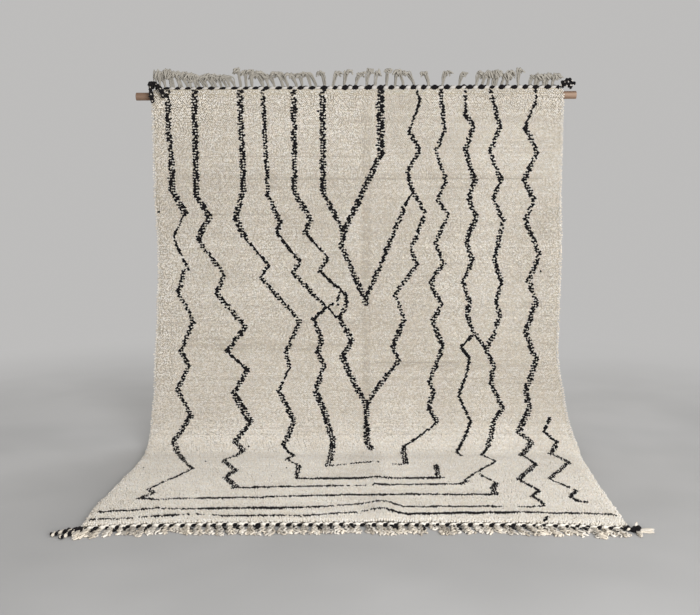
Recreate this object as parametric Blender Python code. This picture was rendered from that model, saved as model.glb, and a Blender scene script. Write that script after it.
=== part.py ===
"""Beni ourain rug hung on a wooden pole, its lower third lying out on the floor.

A cream hand-knotted pile rug, 2 m wide and nearly 3 m long. Its top end is held against a round pole and
leans back over it, it hangs straight down, and it turns in one long bend onto the floor. Each end has a
two-colour twined cord with the rug's warp ends as a fringe: upright with drooping heads along the top,
splayed flat along the front. A rope tassel sits at each corner.

Metres, +Z up, the pole along X, the pile facing -Y. Every piece is built with the pole's axis over Y = 0, and
the empty that carries them all then moves the whole to stand centred on the origin.
"""

import math

import bmesh
import bpy
import numpy as np
from mathutils import Vector

# The rug and how it hangs.
RUG_LENGTH = 2.93
PILE_THICKNESS = 0.022
POLE_HEIGHT = 1.667  # the pole's axis above the floor
BEND_LENGTH = 0.92  # rug taken up by the turn from hanging to lying
BEND_POWER = 1.3  # above 1 the turn starts gently and tightens towards the floor
FLAP = 0.022  # rug standing free above where it touches the pole
LEAN = math.radians(25)  # how far the flap leans back over the pole
POLE_GAP = 0.0020
FRONT_BOW = 0.05  # how far the middle of the front edge lies behind its corners
BOW_START = 1.95  # the bow grows from this distance down the rug

# The pole.
POLE_DIAMETER = 0.038
POLE_REACH = 1.07  # each way from the rug's centre line
POLE_SIDES = 32
POLE_EASE = 0.002  # the sawn ends' worn edge

# The pile's lumps, and the locks that stand out along both side edges.
ROW_PITCH = 0.045
COLUMNS = 28
LUMP = 0.0022
JITTER = 0.20  # of the grid's pitch
RIM_LOCK = 0.008
RIM_HOLLOW = 0.0012  # what stands out between two locks
RIM_INSET = 0.010
BACK_INSET = 0.008
LOCK_LEVEL = 0.45  # of the pile's thickness, from the back
SMOOTH_ROWS = 5  # rows beside the pole with hardly any lumps
SMOOTH_SHARE = 0.3
EDGE_THICKNESS = 0.78  # of the full pile, along the sides
END_THICKNESS = 0.40  # of the full pile, beside the top cord
END_TAPER = 0.030

# The twined end cords and the gap that parts each from the rug's edge.
CORD_RADIUS = 0.0072
CORD_WAIST = 0.0052
CORD_HALF_LENGTH = 0.978
CORD_GAP = 0.0010
TOP_BEADS = 72
FRONT_BEADS = 100
BEAD_SIDES = 6
APOTHEM = math.cos(math.pi / BEAD_SIDES)

# The front fringe: tufts of three ends on a short stalk.
TUFT_PITCH_BEADS = 2
STALK_LENGTH = 0.030
STALK_WIDTH = 0.021
STALK_HEIGHT = 0.009
END_THICK = 0.0075
END_TIP = 0.0055
TUFT_SPREAD = 0.0130
TUFT_LENGTH_SPREAD = 0.010
TUFT_SIDE_SPREAD = 0.0010
OUTER_END_SHORTER = 0.006
STALK_DRIFT = 0.30  # share of the tuft's sideways drift reached at the stalk's end
HALFWAY_DRIFT = 0.65
HALFWAY_SPREAD = 0.85

# The top fringe's warp ends and their knotted heads.
STRAND_THICK = 0.0070
HEAD_THICK = 0.0115
TIP_THICK = 0.0065
STRAND_SWAY = 0.007  # alternate strands stand this far behind and in front
HEAD_TURN = 0.010
STRAND_COURSE = (
    # share of the lean, of the sway and of the rise
    (0.08, 0.20, 0.22),
    (0.50, 0.70, 0.70),
)
RISE_SPREAD = 0.06
LEAN_SPREAD = 0.07

# Rope tassels.
ROPE_RADIUS = 0.0085
ROPE_WAIST = 0.0062
KNOT_RADIUS = 0.0135
ROPE_BEAD = 0.0085  # from one bulge of a rope's twist to the next waist
BEND_SHARE = 0.9  # a bend's length, of the two straight runs that it rounds off

SEED = 5

# The rug's edges as they wander: distance down the rug, the centre line's shift to +X, and the width there.
EDGES = (
    # down, shift, width
    (0.00, 0.006, 1.986),
    (0.45, 0.005, 1.984),
    (0.80, 0.015, 1.982),
    (1.10, 0.006, 1.990),
    (1.31, -0.003, 1.996),
    (1.55, 0.010, 2.002),
    (1.86, 0.026, 2.000),
    (2.10, 0.020, 1.986),
    (2.45, 0.004, 1.992),
    (2.70, -0.006, 2.004),
    (2.93, -0.007, 1.996),
)

# Creases from storage, and the ridge where the rug lies slack on the floor.
CREASES = (
    # runs, where, begins, ends, half width, height
    ("down", 0.054, 0.00, 1.90, 0.022, -0.0040),
    ("down", 0.090, 1.75, 2.55, 0.050, 0.0060),
    ("down", 0.100, 2.35, 3.10, 0.055, 0.0120),
    ("across", 0.14, -0.20, 1.00, 0.018, -0.0025),
    ("across", 0.42, -1.00, 1.00, 0.020, -0.0035),
    ("across", 1.26, -1.00, 0.05, 0.022, -0.0040),
    ("across", 1.34, 0.00, 1.00, 0.022, -0.0040),
    ("across", 2.05, -1.00, 1.00, 0.070, 0.0040),
)

# The top fringe, group by group: it rises, leans to +X and drops its heads by these amounts.
TOP_GROUPS = (
    # from, to, strands, rise, lean, droop
    (-0.945, -0.880, 4, 0.086, -0.030, 0.040),
    (-0.856, -0.780, 5, 0.076, -0.028, 0.028),
    (-0.760, -0.680, 5, 0.062, -0.030, 0.024),
    (-0.650, -0.590, 4, 0.060, -0.030, 0.018),
    (-0.560, -0.500, 3, 0.083, -0.008, 0.022),
    (-0.450, -0.330, 5, 0.074, -0.040, 0.020),
    (-0.290, -0.150, 5, 0.072, -0.028, 0.016),
    (-0.110, 0.000, 3, 0.074, 0.014, 0.014),
    (0.050, 0.190, 4, 0.078, 0.008, 0.018),
    (0.230, 0.350, 3, 0.074, -0.030, 0.016),
    (0.420, 0.500, 2, 0.066, 0.020, 0.016),
    (0.590, 0.730, 7, 0.074, 0.016, 0.032),
    (0.790, 0.790, 1, 0.074, 0.006, 0.012),
    (0.840, 0.950, 6, 0.058, 0.016, 0.026),
)

# The front fringe's length and sideways drift as they change along the edge.
FRONT_FRINGE = (
    # across, length, drift
    (-1.00, 0.100, -0.006),
    (-0.70, 0.112, 0.004),
    (-0.30, 0.118, 0.010),
    (0.20, 0.108, 0.012),
    (0.60, 0.104, 0.018),
    (1.00, 0.100, 0.022),
)

# Corner tassels. A short stub leaves the end cord for a knot, and ropes and loose ends leave the knot, each bending
# towards its first point on the way to its tip. Those in front lie level on the floor, whatever their height here.
# A rope's section keeps one axis near "up".
TASSELS = (
    {
        "name": "tassel_front_left",
        "level": True,
        "up": (0.0, 0.0, 1.0),
        "stub": (-0.989, -1.5005, 0.0),
        "knot": (-1.004, -1.5085, 0.0),
        "ropes": (
            ((-1.050, -1.508, 0.0), (-1.088, -1.566, 0.0)),
            ((-1.028, -1.552, 0.0), (-1.050, -1.592, 0.0)),
        ),
        "ends": (((-0.992, -1.548, 0.0), (-1.001, -1.594, 0.0)),),
    },
    {
        "name": "tassel_front_right",
        "level": True,
        "up": (0.0, 0.0, 1.0),
        "stub": (0.975, -1.5005, 0.0),
        "knot": (1.020, -1.5085, 0.0),
        "ropes": (((1.034, -1.506, 0.0), (1.052, -1.508, 0.0)),),
        "ends": (((1.038, -1.548, 0.0), (1.062, -1.574, 0.0)), ((1.012, -1.545, 0.0), (1.022, -1.582, 0.0))),
    },
    {
        "name": "tassel_top_left",
        "level": False,
        "up": (1.0, 0.0, 0.0),
        "stub": (-0.985, -0.010, 1.703),
        "knot": (-0.993, -0.016, 1.727),
        "ropes": (
            ((-1.014, -0.075, 1.745), (-0.997, -0.060, 1.632)),
            ((-0.958, -0.079, 1.750), (-0.947, -0.060, 1.657)),
        ),
        "ends": (),
    },
    {
        "name": "tassel_top_right",
        "level": False,
        "up": (0.0, 1.0, 0.0),
        "stub": (0.997, -0.010, 1.703),
        "knot": (1.005, -0.016, 1.724),
        "ropes": (((1.030, -0.018, 1.752), (1.056, -0.024, 1.714)), ((1.022, -0.042, 1.712), (1.040, -0.044, 1.700))),
        "ends": (),
    },
)

CREAM_PILE = (0.68, 0.61, 0.49)
CREAM_CORD = (0.66, 0.60, 0.50)
GREY_FRINGE = (0.50, 0.47, 0.40)
CREAM_FRINGE = (0.66, 0.60, 0.48)
BLACK_YARN = (0.010, 0.009, 0.009)
POLE_WOOD = (0.42, 0.24, 0.14)

BACK_RADIUS = POLE_DIAMETER / 2 + POLE_GAP


# Shared helpers


def smoothstep(x):
    """0 below 0, 1 above 1, and a smooth rise between."""
    t = np.clip(x, 0.0, 1.0)
    return t * t * (3 - 2 * t)


def column(table, index):
    return np.array([row[index] for row in table])


def eased(x, table, index):
    """A table's column at x, passing from each row to the next with a smooth rise."""
    x = np.atleast_1d(np.asarray(x, float))
    stops = column(table, 0)
    values = column(table, index)
    row = np.clip(np.searchsorted(stops, x) - 1, 0, len(stops) - 2)
    share = smoothstep((x - stops[row]) / (stops[row + 1] - stops[row]))
    return values[row] + share * (values[row + 1] - values[row])


def principled(name, colour, roughness):
    material = bpy.data.materials.new(name)
    material.use_nodes = True
    shader = material.node_tree.nodes["Principled BSDF"]
    shader.inputs["Base Color"].default_value = (*colour, 1.0)
    shader.inputs["Roughness"].default_value = roughness
    shader.inputs["Metallic"].default_value = 0.0
    material.diffuse_color = (*colour, 1.0)
    return material


def add_object(name, bm, materials, parent, smooth=False):
    mesh = bpy.data.meshes.new(name)
    bm.normal_update()
    bm.to_mesh(mesh)
    bm.free()
    if smooth:
        mesh.shade_smooth()
        mesh.set_sharp_from_angle(angle=math.radians(40))
    obj = bpy.data.objects.new(name, mesh)
    for material in materials:
        obj.data.materials.append(material)
    obj.parent = parent
    bpy.context.scene.collection.objects.link(obj)
    return obj


# The drape


def tilt_at(down):
    """The rug's angle at each distance down it: 0 hanging straight, 90 degrees lying on the floor."""
    flap_end = FLAP
    arc_end = flap_end + BACK_RADIUS * LEAN
    bend_start = arc_end + hang_length()
    wrap = LEAN * (1 - np.clip((down - flap_end) / (arc_end - flap_end), 0, 1))
    turn = np.clip((down - bend_start) / BEND_LENGTH, 0, 1) ** BEND_POWER
    return wrap + turn * math.pi / 2


def hang_length():
    """The straight fall: the pole's height less what the bend itself comes down."""
    share = np.linspace(0, 1, 2001)
    fall = np.cos(math.pi / 2 * share**BEND_POWER)
    bend_drop = BEND_LENGTH * float(np.mean((fall[1:] + fall[:-1]) / 2))
    return POLE_HEIGHT - bend_drop


def drape(down):
    """(forward, height, tilt) of the rug's back at these distances down it."""
    fine = np.linspace(0, RUG_LENGTH, 6001)
    tilt = tilt_at(fine)
    step = fine[1] - fine[0]
    sine = np.sin(tilt)
    cosine = np.cos(tilt)
    forward = np.concatenate([[0], np.cumsum((sine[1:] + sine[:-1]) / 2 * step)])
    fall = np.concatenate([[0], np.cumsum((cosine[1:] + cosine[:-1]) / 2 * step)])
    touch = FLAP + BACK_RADIUS * LEAN
    forward += BACK_RADIUS - np.interp(touch, fine, forward)
    height = POLE_HEIGHT + np.interp(touch, fine, fall) - fall
    lying = fine >= touch + hang_length() + BEND_LENGTH
    height[lying] = 0.0
    return np.interp(down, fine, forward), np.interp(down, fine, height), tilt_at(down)


def bow_at(down, x):
    """How far the cloth is slid back from a straight front edge: most on the centre line, nothing at the corners."""
    grown = smoothstep((down - BOW_START) / (RUG_LENGTH - BOW_START))
    across = (x - EDGES[-1][1]) / (EDGES[-1][2] / 2)
    return FRONT_BOW * grown * (1 - np.clip(np.abs(across), 0, 1) ** 4)


def edge_x(down, side):
    """Where the left (-1) or right (1) edge is, at each distance down the rug."""
    return eased(down, EDGES, 1) + side * eased(down, EDGES, 2) / 2


def crease_height(down, x):
    """What the creases add to the pile's surface: each is a soft ridge or trough that fades at its ends."""
    total = np.zeros(np.broadcast(down, x).shape)
    for runs, where, begins, ends, half_width, height in CREASES:
        along = down if runs == "down" else x
        off = (x if runs == "down" else down) - where
        fade = smoothstep((along - begins) / 0.15) * smoothstep((ends - along) / 0.15)
        total += height * fade * np.exp(-((off / half_width) ** 2))
    return total


def on_rug(down, x, proud):
    """Points that stand this far proud of the rug's back."""
    forward, height, tilt = drape(down)
    forward = forward - bow_at(down, x) + proud * np.cos(tilt)
    height = height + proud * np.sin(tilt)
    shape = np.broadcast(forward, x).shape
    return np.stack(
        [np.broadcast_to(x, shape), np.broadcast_to(-forward, shape), np.broadcast_to(height, shape)], -1
    )


# The rug


def rug_rows():
    """Distances down the rug of the slab's rows, closer together where it leans over the pole."""
    touch = FLAP + BACK_RADIUS * LEAN
    lying = touch + hang_length() + BEND_LENGTH
    hanging = np.linspace(touch, lying, 1 + round((lying - touch) / ROW_PITCH))
    flat = np.linspace(lying, RUG_LENGTH, 1 + round((RUG_LENGTH - lying) / ROW_PITCH))
    return np.concatenate([[0, FLAP / 2, FLAP, (FLAP + touch) / 2], hanging, flat[1:]])


def pile_surface(rows, rng):
    """The pile's lumpy face as a grid of points: a row for each distance down, columns from side to side."""
    share = np.linspace(-1, 1, COLUMNS + 1)
    down = np.repeat(rows[:, None], COLUMNS + 1, axis=1)
    across = np.repeat(share[None, :], len(rows), axis=0)
    shift_down = rng.uniform(-1, 1, down.shape) * JITTER * ROW_PITCH
    shift_across = rng.uniform(-1, 1, down.shape) * JITTER * 2 / COLUMNS
    lumps = rng.normal(0, 1, down.shape).clip(-2, 2) * LUMP
    free = np.zeros(down.shape)
    free[SMOOTH_ROWS:-2, 1:-1] = 1
    down = down + shift_down * free
    across = across + shift_across * free
    left = edge_x(down.ravel(), -1).reshape(down.shape) + RIM_INSET
    right = edge_x(down.ravel(), 1).reshape(down.shape) - RIM_INSET
    x = left + (right - left) * (across + 1) / 2
    thick = PILE_THICKNESS * np.ones(down.shape)
    thick[:, [0, -1]] *= EDGE_THICKNESS
    thick *= END_THICKNESS + (1 - END_THICKNESS) * smoothstep(down / END_TAPER)
    thick[-1] *= EDGE_THICKNESS
    lumps[:SMOOTH_ROWS] *= SMOOTH_SHARE
    proud = thick + lumps + crease_height(down, x)
    return on_rug(down, x, proud)


def rim_points(rows, side):
    """(the locks' tips, the back's edge) down one side: every other row's lock stands out."""
    lock = np.where(np.arange(len(rows)) % 2 == 1, RIM_LOCK, RIM_HOLLOW)
    lock[rows < END_TAPER] = 0
    lock[-1] = 0
    tip_x = edge_x(rows, side) + side * (lock - RIM_LOCK / 2)
    thick = PILE_THICKNESS * (END_THICKNESS + (1 - END_THICKNESS) * smoothstep(rows / END_TAPER))
    tips = on_rug(rows, tip_x, LOCK_LEVEL * thick)
    back = on_rug(rows, edge_x(rows, side) - side * BACK_INSET, np.zeros(len(rows)))
    return tips, back


def build_rug(parent):
    """One closed slab: the lumpy pile face, a rim of locks, and a plain back that lies level on the floor."""
    rng = np.random.default_rng(SEED)
    rows = rug_rows()
    face = pile_surface(rows, rng)
    last = len(rows) - 1
    bm = bmesh.new()
    grid = [[bm.verts.new(point) for point in row] for row in face]
    sides = []
    for side in (-1, 1):
        tips, back = rim_points(rows, side)
        sides.append(([bm.verts.new(p) for p in tips], [bm.verts.new(p) for p in back]))
    (left_tip, left_back), (right_tip, right_back) = sides
    for upper, lower in zip(grid[:-1], grid[1:]):
        for i in range(COLUMNS):
            bm.faces.new((upper[i], lower[i], lower[i + 1], upper[i + 1]))
    for j in range(last):
        bm.faces.new((grid[j][0], left_tip[j], left_tip[j + 1], grid[j + 1][0]))
        bm.faces.new((left_tip[j], left_back[j], left_back[j + 1], left_tip[j + 1]))
        bm.faces.new((grid[j + 1][-1], right_tip[j + 1], right_tip[j], grid[j][-1]))
        bm.faces.new((right_tip[j + 1], right_back[j + 1], right_back[j], right_tip[j]))
    bm.faces.new((left_back[0], left_tip[0], *grid[0], right_tip[0], right_back[0]))
    # The front edge is bowed, so its foot has a point under each column.
    foot_x = face[last, 1:-1, 0]
    level = np.zeros(foot_x.shape)
    foot = [bm.verts.new(point) for point in on_rug(level + rows[last], foot_x, level)]
    foot = [left_back[last], *foot, right_back[last]]
    for i in range(COLUMNS):
        bm.faces.new((grid[last][i], foot[i], foot[i + 1], grid[last][i + 1]))
    bm.faces.new((left_tip[last], left_back[last], grid[last][0]))
    bm.faces.new((right_back[last], right_tip[last], grid[last][-1]))
    lying = int(np.argmax(drape(rows)[1] == 0.0))
    for j in range(lying):
        bm.faces.new((left_back[j], right_back[j], right_back[j + 1], left_back[j + 1]))
    bm.faces.new((*right_back[lying:last], *reversed(foot), *reversed(left_back[lying:last])))
    return add_object("rug", bm, [principled("cream_pile", CREAM_PILE, 0.95)], parent)


# Cords, strands and ropes


def bead_ring(centre, side, up, radius):
    """Six corners round a centre, with a flat side below and one above."""
    angle = np.arange(BEAD_SIDES) * 2 * math.pi / BEAD_SIDES
    return centre + radius * (np.cos(angle)[:, None] * side + np.sin(angle)[:, None] * up)


def loft(bm, rings):
    """A closed tube through rings of corners. It returns its faces: a row for each stretch, a column for each side."""
    corners = [[bm.verts.new(point) for point in ring] for ring in rings]
    sides = len(corners[0])
    faces = [
        [bm.faces.new((a[k], b[k], b[(k + 1) % sides], a[(k + 1) % sides])) for k in range(sides)]
        for a, b in zip(corners[:-1], corners[1:])
    ]
    bm.faces.new(corners[0])
    bm.faces.new(reversed(corners[-1]))
    return faces


def section_axes(direction, up):
    """The two axes of a section square to a direction, one of them as near to up as it can be."""
    direction = direction / np.linalg.norm(direction)
    side = np.cross(direction, up)
    side = side / np.linalg.norm(side)
    return side, np.cross(side, direction)


def corner_signs(face, up):
    """Which corner of a strand's section each corner of its root becomes: two to each side, one over the other."""
    side, lift = section_axes(np.array(face.normal), up)
    corners = np.array([vert.co for vert in face.verts])
    across = np.where((corners @ side).argsort().argsort() < 2, -1, 1)
    over = np.empty(4)
    for sign in (-1, 1):
        pair = np.flatnonzero(across == sign)
        over[pair] = np.where((corners[pair] @ lift).argsort().argsort() < 1, -1, 1)
    return across, over


def extend(bm, face, corners):
    """Extrudes one face and puts its corners at these points. It returns the new face, and which corner each is."""
    before = [tuple(vert.co) for vert in face.verts]
    grown = bmesh.ops.extrude_discrete_faces(bm, faces=[face])["faces"][0]
    order = [before.index(tuple(vert.co)) for vert in grown.verts]
    for vert, corner in zip(grown.verts, order):
        vert.co = corners[corner]
    grown.normal_update()
    return grown, order


def grow(bm, root, stations, up):
    """A four-sided strand from a root face through stations of (point, width, height)."""
    root.normal_update()
    across, over = corner_signs(root, up)
    points = np.array([root.calc_center_median(), *[point for point, _, _ in stations]])
    face = root
    for i, (point, width, height) in enumerate(stations):
        ahead = points[min(i + 2, len(points) - 1)] - points[i]
        side, lift = section_axes(ahead, up)
        offsets = across[:, None] * side * width / 2 + over[:, None] * lift * height / 2
        face, order = extend(bm, face, point + offsets)
        across, over = across[order], over[order]


def checks(faces, materials_per_bead):
    """Alternate beads of a twined cord take the second material."""
    for i, stretch in enumerate(faces):
        for face in stretch:
            face.material_index = (i // materials_per_bead) % 2


# The top cord and its fringe


def build_top_cord(parent):
    """The twined cord on the rug's top end, with the warp ends standing from it in groups."""
    rng = np.random.default_rng(SEED + 1)
    up = np.array([0.0, math.sin(LEAN), math.cos(LEAN)])
    out = np.array([0.0, -math.cos(LEAN), math.sin(LEAN)])
    count = 2 * TOP_BEADS
    x = np.linspace(-CORD_HALF_LENGTH, CORD_HALF_LENGTH, count + 1) + EDGES[0][1]
    base = on_rug(np.zeros(1), np.zeros(1), np.full(1, PILE_THICKNESS * END_THICKNESS / 2))[0]
    axis_point = base + up * (CORD_GAP + CORD_RADIUS * APOTHEM)
    radius = np.where(np.arange(count + 1) % 2 == 1, CORD_RADIUS, CORD_WAIST)
    rings = [bead_ring(axis_point + [x[i], 0, 0], out, up, radius[i]) for i in range(count + 1)]
    bm = bmesh.new()
    faces = loft(bm, rings)
    bm.normal_update()
    checks(faces, 2)
    for stretch in faces:
        for face in stretch:
            face.normal_update()
    free = np.ones(count, bool)
    middle = (x[1:] + x[:-1]) / 2
    number = 0
    for first, last, strands, rise, lean, droop in TOP_GROUPS:
        for wanted in np.linspace(first, last, strands):
            at = int(np.argmin(np.abs(middle - wanted) + 10 * ~free))
            free[max(at - 1, 0) : at + 1] = False
            root = max(faces[at], key=lambda face: face.normal.dot(Vector(up)))
            root.material_index = 2
            tall = rise * (1 + RISE_SPREAD * rng.uniform(-1, 1))
            tilt = lean * (1 + LEAN_SPREAD * rng.uniform(-1, 1))
            sway = STRAND_SWAY * (1 if number % 2 else -1)
            number += 1
            foot = np.array(root.calc_center_median())
            turned = tilt + math.copysign(HEAD_TURN, tilt)
            stations = [
                (foot + np.array(share) * [tilt, sway, tall], STRAND_THICK, STRAND_THICK) for share in STRAND_COURSE
            ]
            stations.append((foot + [tilt, sway, tall - HEAD_THICK / 2], HEAD_THICK, HEAD_THICK))
            stations.append((foot + [turned, sway, tall - droop], TIP_THICK, TIP_THICK))
            grow(bm, root, stations, np.array([0.0, 1.0, 0.0]))
    cream = principled("top_cord_cream", CREAM_CORD, 0.9)
    black = principled("top_cord_black", BLACK_YARN, 0.9)
    grey = principled("top_fringe_grey", GREY_FRINGE, 0.95)
    return add_object("end_cord_top", bm, [cream, black, grey], parent)


# The front cord and its fringe


def front_edge_y(x):
    """Where the front cord's back lies at this X, a gap in front of the rug's edge."""
    forward = drape(np.array([RUG_LENGTH]))[0][0]
    return bow_at(RUG_LENGTH, x) - forward - CORD_GAP


def build_front_cord(parent):
    """The twined cord along the front edge, level on the floor, with a splayed tuft at every other bead."""
    rng = np.random.default_rng(SEED + 2)
    count = 2 * FRONT_BEADS
    x = np.linspace(-CORD_HALF_LENGTH, CORD_HALF_LENGTH, count + 1) + EDGES[-1][1]
    radius = np.where(np.arange(count + 1) % 2 == 1, CORD_RADIUS, CORD_WAIST)
    up = np.array([0.0, 0.0, 1.0])
    out = np.array([0.0, -1.0, 0.0])
    rings = [
        bead_ring(np.array([x[i], front_edge_y(x[i]) - CORD_RADIUS, radius[i] * APOTHEM]), out, up, radius[i])
        for i in range(count + 1)
    ]
    bm = bmesh.new()
    faces = loft(bm, rings)
    checks(faces, 2)
    for stretch in faces:
        for face in stretch:
            face.normal_update()
    low_front = Vector((0.0, -math.cos(math.radians(30)), -math.sin(math.radians(30))))
    for at in range(1, count, 2 * TUFT_PITCH_BEADS):
        root = max(faces[at], key=lambda face: face.normal.dot(low_front))
        root.material_index = 2
        splay_tuft(bm, root, rng, up)
    cream = principled("front_cord_cream", CREAM_CORD, 0.9)
    black = principled("front_cord_black", BLACK_YARN, 0.9)
    fringe = principled("front_fringe_cream", CREAM_FRINGE, 0.95)
    return add_object("end_cord_front", bm, [cream, black, fringe], parent)


def splay_tuft(bm, root, rng, up):
    """A stalk that comes off the cord onto the floor, and splits into three ends that lie apart."""
    foot = np.array(root.calc_center_median())
    length = eased(foot[0], FRONT_FRINGE, 1)[0]
    drift = eased(foot[0], FRONT_FRINGE, 2)[0]
    start = np.array([foot[0], foot[1], 0.0])
    stalk_at = start + [drift * STALK_DRIFT, -STALK_LENGTH, STALK_HEIGHT / 2]
    stalk = grow_level(bm, root, [(stalk_at, STALK_WIDTH, STALK_HEIGHT)], up)
    for third, part in zip((-1, 0, 1), split_in_three(stalk)):
        reach = length + rng.uniform(-1, 1) * TUFT_LENGTH_SPREAD - abs(third) * OUTER_END_SHORTER
        side = rng.uniform(-1, 1) * TUFT_SIDE_SPREAD
        across = drift * HALFWAY_DRIFT + third * TUFT_SPREAD * HALFWAY_SPREAD + side
        half = start + [across, -(STALK_LENGTH + reach) / 2, END_THICK / 2]
        tip = start + [drift + third * TUFT_SPREAD + side, -reach, END_TIP / 2]
        grow_level(bm, part, [(half, END_THICK, END_THICK), (tip, END_TIP, END_TIP)], up)


def grow_level(bm, root, stations, up):
    """A strand that rests on the floor: its sections stay upright, so its underside is level at zero."""
    root.normal_update()
    across, over = corner_signs(root, up)
    face = root
    before = np.array(root.calc_center_median())
    for i, (point, width, height) in enumerate(stations):
        after = stations[min(i + 1, len(stations) - 1)][0]
        ahead = (after - before) * [1, 1, 0]
        side, lift = section_axes(ahead, up)
        offsets = across[:, None] * side * width / 2 + over[:, None] * lift * height / 2
        face, order = extend(bm, face, point + offsets)
        across, over = across[order], over[order]
        before = point
    return face


def split_in_three(face):
    """Cuts an end face into three side by side, and returns them from -X to +X."""
    low_left, low_right, high_right, high_left = by_corner(face)
    cuts = []
    for start, end in ((low_left, low_right), (high_left, high_right)):
        edge = next(e for e in start.link_edges if e.other_vert(start) == end)
        first = bmesh.utils.edge_split(edge, start, 1 / 3)[1]
        rest = next(e for e in first.link_edges if e.other_vert(first) == end)
        second = bmesh.utils.edge_split(rest, first, 1 / 2)[1]
        cuts.append((first, second))
    faces = [face]
    for low, high in zip(*cuts):
        owner = next(f for f in faces if low in f.verts[:] and high in f.verts[:])
        faces.append(bmesh.utils.face_split(owner, low, high)[0])
    for part in faces:
        part.normal_update()
    return sorted(faces, key=lambda part: part.calc_center_median().x)


def by_corner(face):
    """A face's corners: low left, low right, high right, high left, seen from the front."""
    low = sorted(sorted(face.verts, key=lambda v: v.co.z)[:2], key=lambda v: v.co.x)
    high = sorted(sorted(face.verts, key=lambda v: v.co.z)[2:], key=lambda v: v.co.x)
    return low[0], low[1], high[1], high[0]


# Corner tassels


def bent_path(start, towards, tip, spacing):
    """Points along one smooth bend from start to tip, pulled towards a third point, about this far apart."""
    start, towards, tip = (np.array(point, float) for point in (start, towards, tip))
    straight = np.linalg.norm(towards - start) + np.linalg.norm(tip - towards)
    count = max(2, round(BEND_SHARE * straight / spacing))
    t = np.linspace(0, 1, count + 1)[:, None]
    return (1 - t) ** 2 * start + 2 * t * (1 - t) * towards + t**2 * tip


def beaded(count, wide, narrow):
    """Radii that swell and draw in along a twisted rope."""
    return np.where(np.arange(count) % 2 == 0, narrow, wide)


def build_tassel(spec, parent):
    """A stub, a knot and a twisted rope in one tube, with the other ropes and ends grown from the knot's sides."""
    level = spec["level"]
    up = np.array(spec["up"])
    knot = np.array(spec["knot"])
    stub = bent_path(spec["stub"], (np.array(spec["stub"]) + knot) / 2, knot, ROPE_BEAD)[:-1]
    rope = bent_path(knot, *spec["ropes"][0], ROPE_BEAD)[1:]
    points = np.concatenate([stub, [knot], rope])
    radii = np.concatenate(
        [beaded(len(stub), ROPE_RADIUS, ROPE_WAIST), [KNOT_RADIUS], beaded(len(rope), ROPE_RADIUS, ROPE_WAIST)]
    )
    if level:
        points[:, 2] = radii * APOTHEM
    ahead = np.gradient(points, axis=0)
    if level:
        ahead[:, 2] = 0
    rings = []
    for point, direction, radius in zip(points, ahead, radii):
        side, lift = section_axes(direction, up)
        rings.append(bead_ring(point, side, lift, radius))
    bm = bmesh.new()
    faces = loft(bm, rings)
    bm.normal_update()
    checks(faces, 2)
    strands = [(path, True) for path in spec["ropes"][1:]] + [(path, False) for path in spec["ends"]]
    # The first leaves the knot's far side and the next its near side, so they don't meet.
    for stretch, ((towards, tip), twisted) in zip((faces[len(stub)], faces[len(stub) - 1]), strands):
        path = bent_path(knot, towards, tip, 2 * ROPE_BEAD if not twisted else ROPE_BEAD)
        clear = path[np.linalg.norm(path - knot, axis=1) > KNOT_RADIUS + ROPE_BEAD / 2]
        heading = Vector(clear[0] - knot - [0, 0, KNOT_RADIUS / 2]).normalized()
        root = max(stretch, key=lambda face: face.normal.dot(heading))
        root.material_index = 1 if twisted else 0
        if twisted:
            size = 2 * beaded(len(clear), ROPE_RADIUS, ROPE_WAIST)
        else:
            size = np.linspace(END_THICK, END_TIP, len(clear))
        if level:
            clear[:, 2] = size / 2
            stations = [(point, wide, wide) for point, wide in zip(clear, size)]
            grow_level(bm, root, stations, up)
        else:
            stations = [(point, wide, wide) for point, wide in zip(clear, size)]
            grow(bm, root, stations, up)
    cream = principled(spec["name"] + "_cream", CREAM_CORD, 0.9)
    black = principled(spec["name"] + "_black", BLACK_YARN, 0.9)
    return add_object(spec["name"], bm, [cream, black], parent)


# The pole


def build_pole(parent):
    """A round pole with flat sawn ends, their edges a little worn."""
    bm = bmesh.new()
    bmesh.ops.create_cone(
        bm,
        cap_ends=True,
        segments=POLE_SIDES,
        radius1=POLE_DIAMETER / 2,
        radius2=POLE_DIAMETER / 2,
        depth=2 * POLE_REACH,
    )
    obj = add_object("pole", bm, [principled("pole_wood", POLE_WOOD, 0.6)], parent, smooth=True)
    obj.rotation_euler = (0.0, math.pi / 2, 0.0)
    obj.location = (0.0, 0.0, POLE_HEIGHT)
    bevel = obj.modifiers.new("worn_ends", "BEVEL")
    bevel.width = POLE_EASE
    bevel.segments = 2
    bevel.limit_method = "ANGLE"
    bevel.angle_limit = math.radians(60)
    return obj


# The whole


def stand_on_origin(carrier, pieces):
    """Moves the empty that carries the pieces, so that together they stand on Z = 0, centred over the origin."""
    bpy.context.view_layer.update()
    graph = bpy.context.evaluated_depsgraph_get()
    corners = []
    for piece in pieces:
        shape = piece.evaluated_get(graph)
        mesh = shape.to_mesh()
        points = np.empty(len(mesh.vertices) * 3, np.float32)
        mesh.vertices.foreach_get("co", points)
        shape.to_mesh_clear()
        world = np.array(piece.matrix_world)
        points = points.reshape(-1, 3) @ world[:3, :3].T + world[:3, 3]
        corners += [points.min(axis=0), points.max(axis=0)]
    low = np.min(corners, axis=0)
    high = np.max(corners, axis=0)
    carrier.location = (-(low[0] + high[0]) / 2, -(low[1] + high[1]) / 2, 0.0)


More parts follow.
